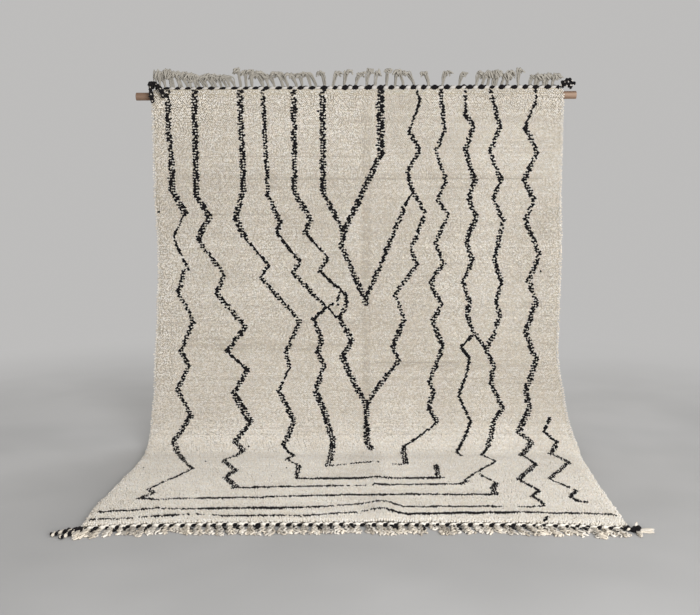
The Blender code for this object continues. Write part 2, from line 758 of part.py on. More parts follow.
def main():
    for obj in list(bpy.data.objects):
        bpy.data.objects.remove(obj, do_unlink=True)
    carrier = bpy.data.objects.new("hung_rug", None)
    bpy.context.scene.collection.objects.link(carrier)
    pieces = [
        build_pole(carrier),
        build_rug(carrier),
        build_top_cord(carrier),
        build_front_cord(carrier),
    ]
    pieces += [build_tassel(spec, carrier) for spec in TASSELS]
    stand_on_origin(carrier, pieces)


main()
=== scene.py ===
"""Looks of a beni ourain rug hung over a wooden pole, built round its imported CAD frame.

Cream hand-knotted pile with black lines tied into it, a plain woven reverse, a two-colour twined cord on
each end with the warp ends as fringe, a rope tassel at each corner, and the pole. Metres, +Z up, the pile
facing -Y.
"""

import logging
import math
from collections.abc import Sequence
from dataclasses import dataclass, field
from enum import Enum, IntEnum

import bpy
import numpy as np
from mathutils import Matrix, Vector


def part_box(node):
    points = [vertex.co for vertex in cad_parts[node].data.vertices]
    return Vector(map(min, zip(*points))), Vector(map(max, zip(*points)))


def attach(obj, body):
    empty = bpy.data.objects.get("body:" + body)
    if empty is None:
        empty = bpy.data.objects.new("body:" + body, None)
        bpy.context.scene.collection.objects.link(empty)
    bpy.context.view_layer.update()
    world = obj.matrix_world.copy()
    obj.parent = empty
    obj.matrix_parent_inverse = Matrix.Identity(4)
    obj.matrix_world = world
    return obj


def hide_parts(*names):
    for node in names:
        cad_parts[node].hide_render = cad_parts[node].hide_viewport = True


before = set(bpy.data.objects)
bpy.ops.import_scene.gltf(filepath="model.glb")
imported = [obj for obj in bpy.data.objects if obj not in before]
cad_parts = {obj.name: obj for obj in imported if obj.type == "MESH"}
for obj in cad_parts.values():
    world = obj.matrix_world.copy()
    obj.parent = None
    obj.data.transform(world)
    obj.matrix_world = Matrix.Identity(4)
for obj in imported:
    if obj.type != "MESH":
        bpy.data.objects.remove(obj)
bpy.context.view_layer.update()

LOG = logging.getLogger("rug")
BODY = "root"
YARN_MAP = "OFBake"
CLOTH_MAP = "cloth"
SEED = 41
ROW_PITCH = 0.0065
KNOT_PITCH = 0.0095

Array = np.ndarray
Socket = bpy.types.NodeSocket
Material = bpy.types.Material
Point = tuple[float, float, float]
# A socket, number, colour or vector for each of a node's inputs, by name or number
Inputs = dict[str | int, object]
UP: Point = (0.0, 0.0, 1.0)


class Slot(Enum):
    """The record's material slots."""

    PILE = "pile"
    TOP_CORD = "top_cord"
    FRONT_CORD = "front_cord"
    TASSELS = "tassels"


class Yarn(IntEnum):
    """Each yarn's first column on the yarn chart. Its shades run to the right, from deep to pale."""

    CREAM = 0
    BLACK = 24
    GREY = 28


CHART_COLUMNS = 32
CHART_MARGIN = 0.06
SHADES = {Yarn.CREAM: 24, Yarn.BLACK: 4, Yarn.GREY: 4}

# Each strand of a rope: its yarn, shade and bulk
Plies = tuple[tuple[Yarn, float, float], ...]


def yarn_column(yarn: Yarn, shade: Array | float) -> Array:
    """The chart column of a shade from 0 to 1: the yarn's first, and that share of its shades, floored."""
    return int(yarn) + np.floor(np.clip(shade, 0.0, 0.9999) * SHADES[yarn])


def chart_place(column: Array, around: Array) -> Array:
    """How far across the chart a share of the way round a strand lies, inside its column's margins."""
    return (column + CHART_MARGIN + (1 - 2 * CHART_MARGIN) * around) / CHART_COLUMNS


# Shared shapes


def smoothstep(x: Array) -> Array:
    """0 below 0, 1 above 1, and 3x^2 - 2x^3 between."""
    t = np.clip(x, 0.0, 1.0)
    return t * t * (3 - 2 * t)


def grown(x: Array, start: float, over: float) -> Array:
    """0 up to the start and 1 from this distance past it, with a smoothstep between."""
    return smoothstep((x - start) / over)


def eased(x: Array, rows: Sequence[Sequence[float]], column: int) -> Array:
    """A table's column at x: from each row to the next it passes with a smoothstep.

    Args:
        x: Where to read the table, on its first column.
        rows: The table, with a rising first column.
        column: Which column to read.

    Returns:
        The column's values at x.
    """
    table = np.array(rows, float)
    row = np.clip(np.searchsorted(table[:, 0], x) - 1, 0, len(table) - 2)
    share = smoothstep((x - table[row, 0]) / (table[row + 1, 0] - table[row, 0]))
    return table[row, column] + share * (table[row + 1, column] - table[row, column])


def soft_noise(x: Array, y: Array, cell: float, seed: int) -> Array:
    """Random heights of -1 to 1 on a square lattice, passed between by smoothsteps in both directions.

    Args:
        x: First coordinate, in metres.
        y: Second coordinate, in metres.
        cell: The lattice's pitch.
        seed: Picks the lattice.

    Returns:
        The noise at each point.
    """
    lattice = np.random.default_rng(seed).uniform(-1, 1, (257, 257))
    column, row = np.asarray(x) / cell + 128.0, np.asarray(y) / cell + 64.0
    i, j = np.floor(column).astype(int) % 256, np.floor(row).astype(int) % 256
    across, along = smoothstep(column % 1.0), smoothstep(row % 1.0)
    near = lattice[i, j] * (1 - across) + lattice[i + 1, j] * across
    far = lattice[i, j + 1] * (1 - across) + lattice[i + 1, j + 1] * across
    return near * (1 - along) + far * along


def summed(values: Array, step: float) -> Array:
    """The running sum of values a step apart, by trapezoids, from 0."""
    return np.concatenate([[0], np.cumsum((values[1:] + values[:-1]) / 2 * step)])


def bend(start: Array, towards: Array, tip: Array, count: int) -> Array:
    """A quadratic Bezier curve: (1-t)^2 start + 2t(1-t) towards + t^2 tip, as this many points."""
    t = np.linspace(0, 1, count)[:, None]
    return (1 - t) ** 2 * start + 2 * t * (1 - t) * towards + t**2 * tip


def through(stations: Array, count: int) -> Array:
    """Catmull-Rom curves through stations: between two stations, a cubic whose slope at each is half the step
    from the station before it to the one after it.

    Args:
        stations: (strands, stations, 3).
        count: Number of points on each curve.

    Returns:
        (strands, count, 3).
    """
    last = stations.shape[1] - 1
    t = np.linspace(0, last, count)
    i = np.minimum(t.astype(int), last - 1)
    f = (t - i)[:, None]
    before, here = stations[:, np.maximum(i - 1, 0)], stations[:, i]
    after, beyond = stations[:, i + 1], stations[:, np.minimum(i + 2, last)]
    slope = f * (after - before) / 2
    square = f**2 * (before - 2.5 * here + 2 * after - beyond / 2)
    return here + slope + square + f**3 * (1.5 * (here - after) + (beyond - before) / 2)


@dataclass
class Patch:
    """Faces worked out as whole arrays: points, and for each kind of face the numbers of its corners (n, k)
    and their places on a map (n, k, 2)."""

    points: Array
    faces: list[tuple[Array, Array]]


def joined(patches: Sequence[Patch]) -> Patch:
    """Several patches as one, each one's corner numbers raised by the number of points before it.

    Args:
        patches: The patches.

    Returns:
        One patch.
    """
    starts = np.cumsum([0] + [len(patch.points) for patch in patches])
    faces = [(corners + start, places) for p, start in zip(patches, starts) for corners, places in p.faces]
    return Patch(np.concatenate([patch.points for patch in patches]), faces)


def rested(patch: Patch, floor: float) -> Patch:
    """A patch with what would reach below the floor pressed flat on it."""
    patch.points[:, 2] = np.maximum(patch.points[:, 2], floor)
    return patch


def unit(vectors: Array) -> Array:
    """Vectors divided by their own lengths."""
    return vectors / np.maximum(np.linalg.norm(vectors, axis=-1, keepdims=True), 1e-12)


def carried(paths: Array, up: Sequence[float]) -> tuple[Array, Array, Array]:
    """The directions that a section keeps to: ahead along its path, side, which is ahead crossed with up, and
    lift, which is side crossed with ahead.

    Args:
        paths: (..., stations, 3).
        up: A direction that no path runs along.

    Returns:
        Ahead, side and lift, each like the paths.
    """
    ahead = unit(np.gradient(paths, axis=-2))
    side = unit(np.cross(ahead, np.asarray(up, float)))
    return ahead, side, np.cross(side, ahead)


def sweep(
    paths: Array,
    radii: Array,
    columns: Array,
    up: Sequence[float],
    sides: int = 6,
    flat: float = 1.0,
    repeat: int = 0,
    blunt: float = 0.6,
    steady: bool = False,
) -> Patch:
    """Round sections carried along paths: centre + r (cos a side + flat sin a lift). A point past each end
    closes it.

    Args:
        paths: (strands, stations, 3).
        radii: (strands, stations).
        columns: Each strand's column on the yarn chart.
        up: A direction that no path runs along.
        sides: Corners of a section.
        flat: The section's height as a share of its width.
        repeat: Stations after which the yarn's pattern starts again, or 0 for once over the whole strand.
        blunt: How far the closing point stands out, in radii.
        steady: Whether sections keep square to the strands' mean path, so a float doesn't tilt its section.

    Returns:
        The strands as one closed patch each.
    """
    strands, stations = paths.shape[:2]
    ahead, side, lift = carried(np.repeat(paths.mean(0)[None], strands, 0) if steady else paths, up)
    angle = np.arange(sides) * 2 * math.pi / sides
    ring = np.cos(angle)[:, None] * side[:, :, None] + flat * np.sin(angle)[:, None] * lift[:, :, None]
    tube = paths[:, :, None] + radii[:, :, None, None] * ring
    low_tip = paths[:, 0] - ahead[:, 0] * radii[:, :1] * blunt
    high_tip = paths[:, -1] + ahead[:, -1] * radii[:, -1:] * blunt
    number = np.arange(strands * stations * sides).reshape(strands, stations, sides)
    turned = np.roll(number, -1, axis=2)
    quads = np.stack([number[:, :-1], number[:, 1:], turned[:, 1:], turned[:, :-1]], -1)
    column, around = columns[:, None, None, None], np.arange(sides) / sides
    after = around + 1 / sides
    period = repeat or stations - 1
    low = np.arange(stations - 1) % period / period
    high = low + 1 / period
    place = np.empty((strands, stations - 1, sides, 4, 2))
    place[..., 0] = chart_place(column, np.stack([around, around, after, after], -1))
    place[..., 1] = 0.05 + 0.9 * np.stack([low, high, high, low], -1)[:, None]
    tips = number.size + np.arange(strands * 2).reshape(strands, 2, 1) + np.zeros(sides, int)
    low_cap = np.stack([number[:, 0], turned[:, 0], tips[:, 0]], -1)
    high_cap = np.stack([turned[:, -1], number[:, -1], tips[:, 1]], -1)
    cap = np.empty((strands, 2, sides, 3, 2))
    cap[..., 0] = chart_place(column, np.stack([around, after, np.full(sides, 0.5)], -1))
    cap[:, 0, :, :, 1] = [0.06, 0.06, 0.02]
    cap[:, 1, :, :, 1] = [0.94, 0.94, 0.98]
    return Patch(
        np.concatenate([tube.reshape(-1, 3), np.stack([low_tip, high_tip], 1).reshape(-1, 3)]),
        [
            (quads.reshape(-1, 4), place.reshape(-1, 4, 2)),
            (np.stack([low_cap, high_cap], 1).reshape(-1, 3), cap.reshape(-1, 3, 2)),
        ],
    )


ROPE_STEPS = 12


def twined(
    axis: Array,
    radius: float,
    pitch: float,
    up: Sequence[float],
    plies: Plies,
    flat: float = 1.5,
    swell: Sequence[float] = (1.0, 1.0),
) -> Patch:
    """Strands twined round one another in long floats: a strand's centre is the axis + radius (0.45 cos a
    side + 0.16 sin a lift), where a grows by a full turn each pitch, and its section swells with |cos a|
    where it floats on a side and thins where it passes through. The strands are spaced evenly round the turn.

    Args:
        axis: Points along the rope, (n, 3).
        radius: The rope's radius.
        pitch: Length of a full turn.
        up: A direction that the rope doesn't run along.
        plies: Its strands.
        flat: A float's height as a share of its depth.
        swell: How thick the rope is at evenly spaced places, in radii.

    Returns:
        The strands as one patch.
    """
    run = np.concatenate([[0], np.cumsum(np.linalg.norm(np.diff(axis, axis=0), axis=1))])
    count = max(5, 1 + round(run[-1] / pitch * ROPE_STEPS))
    at = np.linspace(0, run[-1], count)
    line = np.stack([np.interp(at, run, axis[:, k]) for k in range(3)], 1)
    _, side, lift = carried(line, up)
    ply = np.arange(len(plies))[:, None]
    angle = 2 * math.pi * (at / pitch + ply / len(plies)) + 0.8 * soft_noise(at, at * 0, 0.07, 31)
    turn = 0.45 * np.cos(angle)[..., None] * side + 0.16 * np.sin(angle)[..., None] * lift
    radii = radius * (0.40 + 0.38 * np.abs(np.cos(angle))) * np.array([[bulk] for _, _, bulk in plies])
    radii = radii * (1 + 0.30 * soft_noise(at + 0.5 * ply, 0.5 * ply, 0.030, 32))
    radii = radii * np.interp(np.linspace(0, len(swell) - 1, count), np.arange(len(swell)), swell)
    radii[:, [0, -1]] *= 0.75
    columns = np.array([yarn_column(yarn, shade) for yarn, shade, _ in plies])
    return sweep(line + radius * turn, radii, columns, up, 8, flat, ROPE_STEPS, steady=True)


def new_object(name: str, data: bpy.types.ID) -> bpy.types.Object:
    """Puts an object with this data into the scene.

    Args:
        name: Its name.
        data: Its mesh, lamp or camera.

    Returns:
        The object, at the origin.
    """
    obj = bpy.data.objects.new(name, data)
    bpy.context.scene.collection.objects.link(obj)
    return obj


def make_piece(
    name: str,
    patch: Patch,
    material: Material,
    nodes: Sequence[str],
    map_name: str = YARN_MAP,
) -> bpy.types.Object:
    """Puts a patch into a mesh object at the origin, which rides on the rug's body and stands for CAD nodes.

    Args:
        name: The piece's name.
        patch: Its faces.
        material: What it wears.
        nodes: The CAD nodes that it stands for.
        map_name: Name of the map that its corners' places go to.

    Returns:
        The new object.
    """
    mesh = bpy.data.meshes.new(name)
    corners = np.concatenate([numbers.ravel() for numbers, _ in patch.faces])
    places = np.concatenate([places.reshape(-1, 2) for _, places in patch.faces])
    totals = np.concatenate([np.full(len(numbers), numbers.shape[1]) for numbers, _ in patch.faces])
    mesh.vertices.add(len(patch.points))
    mesh.vertices.foreach_set("co", patch.points.astype(np.float32).ravel())
    mesh.loops.add(len(corners))
    mesh.loops.foreach_set("vertex_index", corners.astype(np.int32))
    mesh.polygons.add(len(totals))
    mesh.polygons.foreach_set("loop_start", (np.cumsum(totals) - totals).astype(np.int32))
    mesh.uv_layers.new(name=map_name).uv.foreach_set("vector", places.astype(np.float32).ravel())
    mesh.update(calc_edges=True)
    mesh.shade_smooth()
    mesh.materials.append(material)
    piece = new_object(name, mesh)
    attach(piece, BODY)
    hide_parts(*nodes)
    LOG.info("%s: %d triangles", name, int((totals - 2).sum()))
    return piece


# Materials


def rgba(colour: Point) -> tuple[float, ...]:
    """A colour with an alpha of 1."""
    return (*colour, 1.0)


class Desk:
    """A node tree with short ways to add and join nodes."""

    def __init__(self, tree: bpy.types.NodeTree) -> None:
        """Takes the tree that it works on."""
        self.tree = tree

    def fill(self, node: bpy.types.Node, inputs: Inputs) -> bpy.types.Node:
        """Links sockets to a node's inputs, or sets their values.

        Args:
            node: The node.
            inputs: What each input takes.

        Returns:
            The node.
        """
        for key, value in inputs.items():
            socket = node.inputs[key]
            if isinstance(value, Socket):
                self.tree.links.new(value, socket)
            else:
                socket.default_value = rgba(value) if socket.type == "RGBA" else value
        return node

    def add(self, kind: str, inputs: Inputs | None = None, **settings: object) -> bpy.types.Node:
        """Adds a node.

        Args:
            kind: The node's type, without "ShaderNode".
            inputs: What its inputs take.
            settings: The node's own properties.

        Returns:
            The node.
        """
        node = self.tree.nodes.new("ShaderNode" + kind)
        for key, value in settings.items():
            setattr(node, key, value)
        return self.fill(node, inputs or {})

    def math(self, operation: str, *values: object) -> Socket:
        """A Math node's result on up to three values."""
        return self.add("Math", dict(enumerate(values)), operation=operation).outputs[0]

    def between(self, value: Socket, low: float, high: float, to_low: float, to_high: float) -> Socket:
        """A value carried from one range to another with a smooth ease, clamped at both ends."""
        inputs = {"Value": value, "From Min": low, "From Max": high, "To Min": to_low, "To Max": to_high}
        return self.add("MapRange", inputs, interpolation_type="SMOOTHSTEP").outputs[0]

    def mix(self, share: object, a: object, b: object, blend: str = "MIX") -> Socket:
        """Two colours mixed by a share."""
        return self.add("Mix", {0: share, 6: a, 7: b}, data_type="RGBA", blend_type=blend).outputs[2]


def new_material(name: str) -> tuple[Material, Desk]:
    """A new material with nodes.

    Args:
        name: Its name.

    Returns:
        The material, and a desk for its node tree.
    """
    material = bpy.data.materials.new(name)
    material.use_nodes = True
    return material, Desk(material.node_tree)


def new_group(name: str, takes: dict[str, object], gives: dict[str, str]) -> tuple:
    """An empty shader node group with named sockets.

    Args:
        name: The group's name.
        takes: Each input's default: a number, a colour, or None for a vector.
        gives: Each output's kind.

    Returns:
        The group's desk, its input sockets by name, and its output node.
    """
    tree = bpy.data.node_groups.new(name, "ShaderNodeTree")
    for title, default in takes.items():
        kind = "Vector" if default is None else "Color" if isinstance(default, tuple) else "Float"
        socket = tree.interface.new_socket(title, in_out="INPUT", socket_type="NodeSocket" + kind)
        if default is not None:
            socket.default_value = rgba(default) if kind == "Color" else default
    for title, kind in gives.items():
        tree.interface.new_socket(title, in_out="OUTPUT", socket_type="NodeSocket" + kind)
    source = tree.nodes.new("NodeGroupInput")
    return Desk(tree), {s.name: s for s in source.outputs}, tree.nodes.new("NodeGroupOutput")


def yarn_chart_group() -> bpy.types.NodeTree:
    """Spun wool as the yarn chart lays it out: across, its columns of yarn and shade; up, from a strand's
    root to its tip. Its fibres are noise drawn out along the strand, and a root is painted darker than a tip,
    painted shade where the strands crowd together.

    Returns:
        The node group, which gives a colour and a height for bump.
    """
    takes = {
        "Vector": None,
        "Deep Cream": WoolFinish.deep,
        "Pale Cream": WoolFinish.pale,
        "Black": (0.006, 0.005, 0.006),
        "Grey": (0.38, 0.355, 0.31),
        "Warm": (1.0, 0.97, 0.92),
        "Root Painted Shade": WoolFinish.root_painted_shade,
        "Fibre": WoolFinish.fibre,
        "Fibre Slant": WoolFinish.slant,
    }
    desk, take, out = new_group("yarn_chart", takes, {"Color": "Color", "Height": "Float"})
    place = desk.add("SeparateXYZ", {0: take["Vector"]})
    along = place.outputs["Y"]
    scaled = desk.math("MULTIPLY", place.outputs["X"], float(CHART_COLUMNS))
    column = desk.math("FLOOR", scaled)
    shade = desk.math("DIVIDE", column, float(SHADES[Yarn.CREAM] - 1))
    cream = desk.mix(shade, take["Deep Cream"], take["Pale Cream"])
    warm = desk.mix(1.0, cream, take["Warm"], "MULTIPLY")
    colour = desk.mix(desk.math("MODULO", column, 2.0), cream, warm)
    for yarn, title in ((Yarn.BLACK, "Black"), (Yarn.GREY, "Grey")):
        colour = desk.mix(desk.math("GREATER_THAN", column, yarn - 0.5), colour, take[title])
    slanted = desk.math("MULTIPLY_ADD", along, take["Fibre Slant"], desk.math("FRACT", scaled))
    scales = {"X": (slanted, 11.0), "Y": (along, 3.0), "Z": (column, 3.7)}
    spot = desk.add("CombineXYZ", {axis: desk.math("MULTIPLY", *pair) for axis, pair in scales.items()})
    fibre = desk.add("TexNoise", {"Vector": spot.outputs[0], "Scale": 1.0, "Detail": 2.0, "Roughness": 0.6})
    swing = desk.math("SUBTRACT", fibre.outputs["Fac"], 0.5)
    light = desk.math("MULTIPLY_ADD", swing, desk.math("MULTIPLY", take["Fibre"], 2.0), 1.0)
    # Roots painted darker than tips: painted shade where the strands crowd together
    rise = {"Value": along, "From Min": 0.1, "From Max": 0.85, "To Min": take["Root Painted Shade"], "To Max": 1.0}
    level = desk.math("MULTIPLY", light, desk.add("MapRange", rise).outputs[0])
    grey = desk.add("CombineColor", {"Red": level, "Green": level, "Blue": level}).outputs[0]
    desk.fill(out, {"Color": desk.mix(1.0, colour, grey, "MULTIPLY"), "Height": fibre.outputs["Fac"]})
    return desk.tree


def soft_stain_group() -> bpy.types.NodeTree:
    """Age and handling: two sizes of noise added, as a mask from 0, clean, to 1, stained.

    Returns:
        The node group, which gives the mask.
    """
    desk, take, out = new_group("soft_stain", {"Vector": None, "Size": 0.4}, {"Mask": "Float"})
    small = desk.math("DIVIDE", 1.0, take["Size"])
    broad = desk.add("TexNoise", {"Vector": take["Vector"], "Scale": small, "Detail": 3.0})
    fine = desk.add("TexNoise", {"Vector": take["Vector"], "Scale": desk.math("MULTIPLY", small, 9.0)})
    total = desk.math("MULTIPLY_ADD", fine.outputs["Fac"], 0.35, broad.outputs["Fac"])
    desk.fill(out, {"Mask": desk.between(total, 0.45, 0.95, 0.0, 1.0)})
    return desk.tree


def weft_row_group() -> bpy.types.NodeTree:
    """The woven reverse: a ridge for each row, the sine of its place down the cloth, crossed by the knots'
    own humps, the sine of their place across it, which step over by half a knot from row to row.

    Returns:
        The node group, which gives a height and a mask of the hollows.
    """
    takes = {"Vector": None, "Row Pitch": ROW_PITCH, "Knot Pitch": KNOT_PITCH}
    desk, take, out = new_group("weft_rows", takes, {"Height": "Float", "Hollow Shade": "Float"})
    place = desk.add("SeparateXYZ", {0: take["Vector"]})
    wander = desk.add("TexNoise", {"Vector": take["Vector"], "Scale": 40.0, "Detail": 1.0})
    row = desk.math("DIVIDE", place.outputs["Y"], take["Row Pitch"])
    row = desk.math("MULTIPLY_ADD", wander.outputs["Fac"], 0.9, row)
    over = desk.math("MULTIPLY", desk.math("FLOOR", row), 0.5)
    knot = desk.math("ADD", desk.math("DIVIDE", place.outputs["X"], take["Knot Pitch"]), over)
    ridge = desk.math("SINE", desk.math("MULTIPLY", desk.math("FRACT", row), math.pi))
    hump = desk.math("ABSOLUTE", desk.math("SINE", desk.math("MULTIPLY", knot, math.pi)))
    height = desk.math("MULTIPLY", ridge, desk.math("MULTIPLY_ADD", hump, 0.6, 0.4))
    desk.fill(out, {"Height": height, "Hollow Shade": desk.between(height, 0.05, 0.55, 1.0, 0.0)})
    return desk.tree


@dataclass
class Workshop:
    """The shared node groups, made once."""

    yarn_chart: bpy.types.NodeTree = field(default_factory=yarn_chart_group)
    soft_stain: bpy.types.NodeTree = field(default_factory=soft_stain_group)
    weft_rows: bpy.types.NodeTree = field(default_factory=weft_row_group)


@dataclass(frozen=True)
class Finish:
    """A named look, which each kind of finish works out as inputs of the Principled shader."""

    name: str

    def inputs(self, desk: Desk, shop: Workshop) -> Inputs:
        """What the shader's inputs take, by name."""
        raise NotImplementedError

    def material(self, shop: Workshop) -> Material:
        """Builds the material.

        Args:
            shop: The shared node groups.

        Returns:
            The material.
        """
        material, desk = new_material(self.name)
        desk.fill(desk.tree.nodes["Principled BSDF"], self.inputs(desk, shop))
        return material


@dataclass(frozen=True)
class WoolFinish(Finish):
    """Spun wool that reads the yarn chart by the piece's own map."""

    deep: Point = (0.57, 0.52, 0.45)
    pale: Point = (0.88, 0.85, 0.795)
    # How dark a strand's root is painted, as painted shade among crowded strands: 1 for none
    root_painted_shade: float = 1.0
    fibre: float = 0.2
    slant: float = 1.0
    relief: float = 0.0006

    def inputs(self, desk: Desk, shop: Workshop) -> Inputs:
        """The chart's colour, and a bump from its height.

        Args:
            desk: The material's node tree.
            shop: The shared node groups.

        Returns:
            What the shader's inputs take.
        """
        takes = {
            "Vector": desk.add("UVMap", uv_map=YARN_MAP).outputs[0],
            "Deep Cream": self.deep,
            "Pale Cream": self.pale,
            "Root Painted Shade": self.root_painted_shade,
            "Fibre": self.fibre,
            "Fibre Slant": self.slant,
        }
        chart = desk.add("Group", takes, node_tree=shop.yarn_chart)
        bump = desk.add("Bump", {"Height": chart.outputs["Height"], "Strength": 0.5, "Distance": self.relief})
        return {
            "Base Color": chart.outputs["Color"],
            "Normal": bump.outputs[0],
            "Roughness": 0.95,
            "Sheen Weight": 0.04,
            "Sheen Roughness": 0.6,
            "Specular IOR Level": 0.12,
        }


@dataclass(frozen=True)
class WeaveFinish(Finish):
    """The bare woven cloth that shows on the back, with its rows of knots."""

    name: str = "woven_reverse"
    wool: Point = (0.66, 0.59, 0.46)
    # Painted shade in the hollows between the rows
    hollow: Point = (0.36, 0.31, 0.23)
    stain: Point = (0.56, 0.49, 0.37)
    relief: float = 0.0022

    def inputs(self, desk: Desk, shop: Workshop) -> Inputs:
        """The wool's colour, stained in patches and painted darker in the hollows as painted shade, and a
        bump from the rows.

        Args:
            desk: The material's node tree.
            shop: The shared node groups.

        Returns:
            What the shader's inputs take.
        """
        places = desk.add("UVMap", uv_map=CLOTH_MAP).outputs[0]
        rows = desk.add("Group", {"Vector": places}, node_tree=shop.weft_rows)
        stain = desk.add("Group", {"Vector": places, "Size": 0.3}, node_tree=shop.soft_stain)
        colour = desk.mix(stain.outputs["Mask"], self.wool, self.stain)
        bump = desk.add("Bump", {"Height": rows.outputs["Height"], "Strength": 0.8, "Distance": self.relief})
        return {
            # Painted shade: the hollows between the rows are painted darker
            "Base Color": desk.mix(desk.math("MULTIPLY", rows.outputs["Hollow Shade"], 0.7), colour, self.hollow),
            "Roughness": desk.between(rows.outputs["Height"], 0.0, 1.0, 1.0, 0.86),
            "Normal": bump.outputs[0],
            "Sheen Weight": 0.1,
        }


@dataclass(frozen=True)
class WoodFinish(Finish):
    """A turned softwood pole: growth lines drawn out along it, a few darker knots, a darker left end, and a
    bump from the grain."""

    name: str = "pole_softwood"
    pale: Point = (0.31, 0.205, 0.140)
    dark: Point = (0.17, 0.100, 0.062)
    stain: Point = (0.26, 0.18, 0.13)

    def inputs(self, desk: Desk, shop: Workshop) -> Inputs:
        """The wood's colours mixed by grain, knots, stain and place, and a bump from the grain and pores.

        Args:
            desk: The material's node tree.
            shop: The shared node groups.

        Returns:
            What the shader's inputs take.
        """
        where = desk.add("TexCoord").outputs["Object"]
        drawn, pores, spots = (
            {"Vector": desk.add("Mapping", {"Vector": where, "Scale": scale}).outputs[0], "Scale": 1.0}
            for scale in ((2.2, 55.0, 55.0), (14.0, 420.0, 420.0), (3.5, 22.0, 22.0))
        )
        grain = desk.add("TexNoise", {**drawn, "Detail": 5.0, "Distortion": 0.4}).outputs["Fac"]
        fine = desk.add("TexNoise", {**pores, "Detail": 2.0}).outputs["Fac"]
        knot = desk.add("TexVoronoi", spots).outputs["Distance"]
        stain = desk.add("Group", {"Vector": where, "Size": 0.25}, node_tree=shop.soft_stain).outputs["Mask"]
        across = desk.add("SeparateXYZ", {0: where}).outputs["X"]
        colour = desk.mix(desk.between(grain, 0.35, 0.68, 0.0, 1.0), self.pale, self.dark)
        colour = desk.mix(desk.between(knot, 0.05, 0.22, 0.8, 0.0), colour, self.dark)
        colour = desk.mix(desk.math("MULTIPLY", stain, 0.35), colour, self.stain)
        both = desk.math("MULTIPLY_ADD", fine, 0.5, grain)
        return {
            "Base Color": desk.mix(desk.between(across, -1.00, -0.92, 0.85, 0.0), colour, self.dark),
            "Roughness": desk.between(both, 0.4, 1.0, 0.5, 0.75),
            "Normal": desk.add("Bump", {"Height": both, "Strength": 0.35, "Distance": 0.0008}).outputs[0],
        }


# The drape


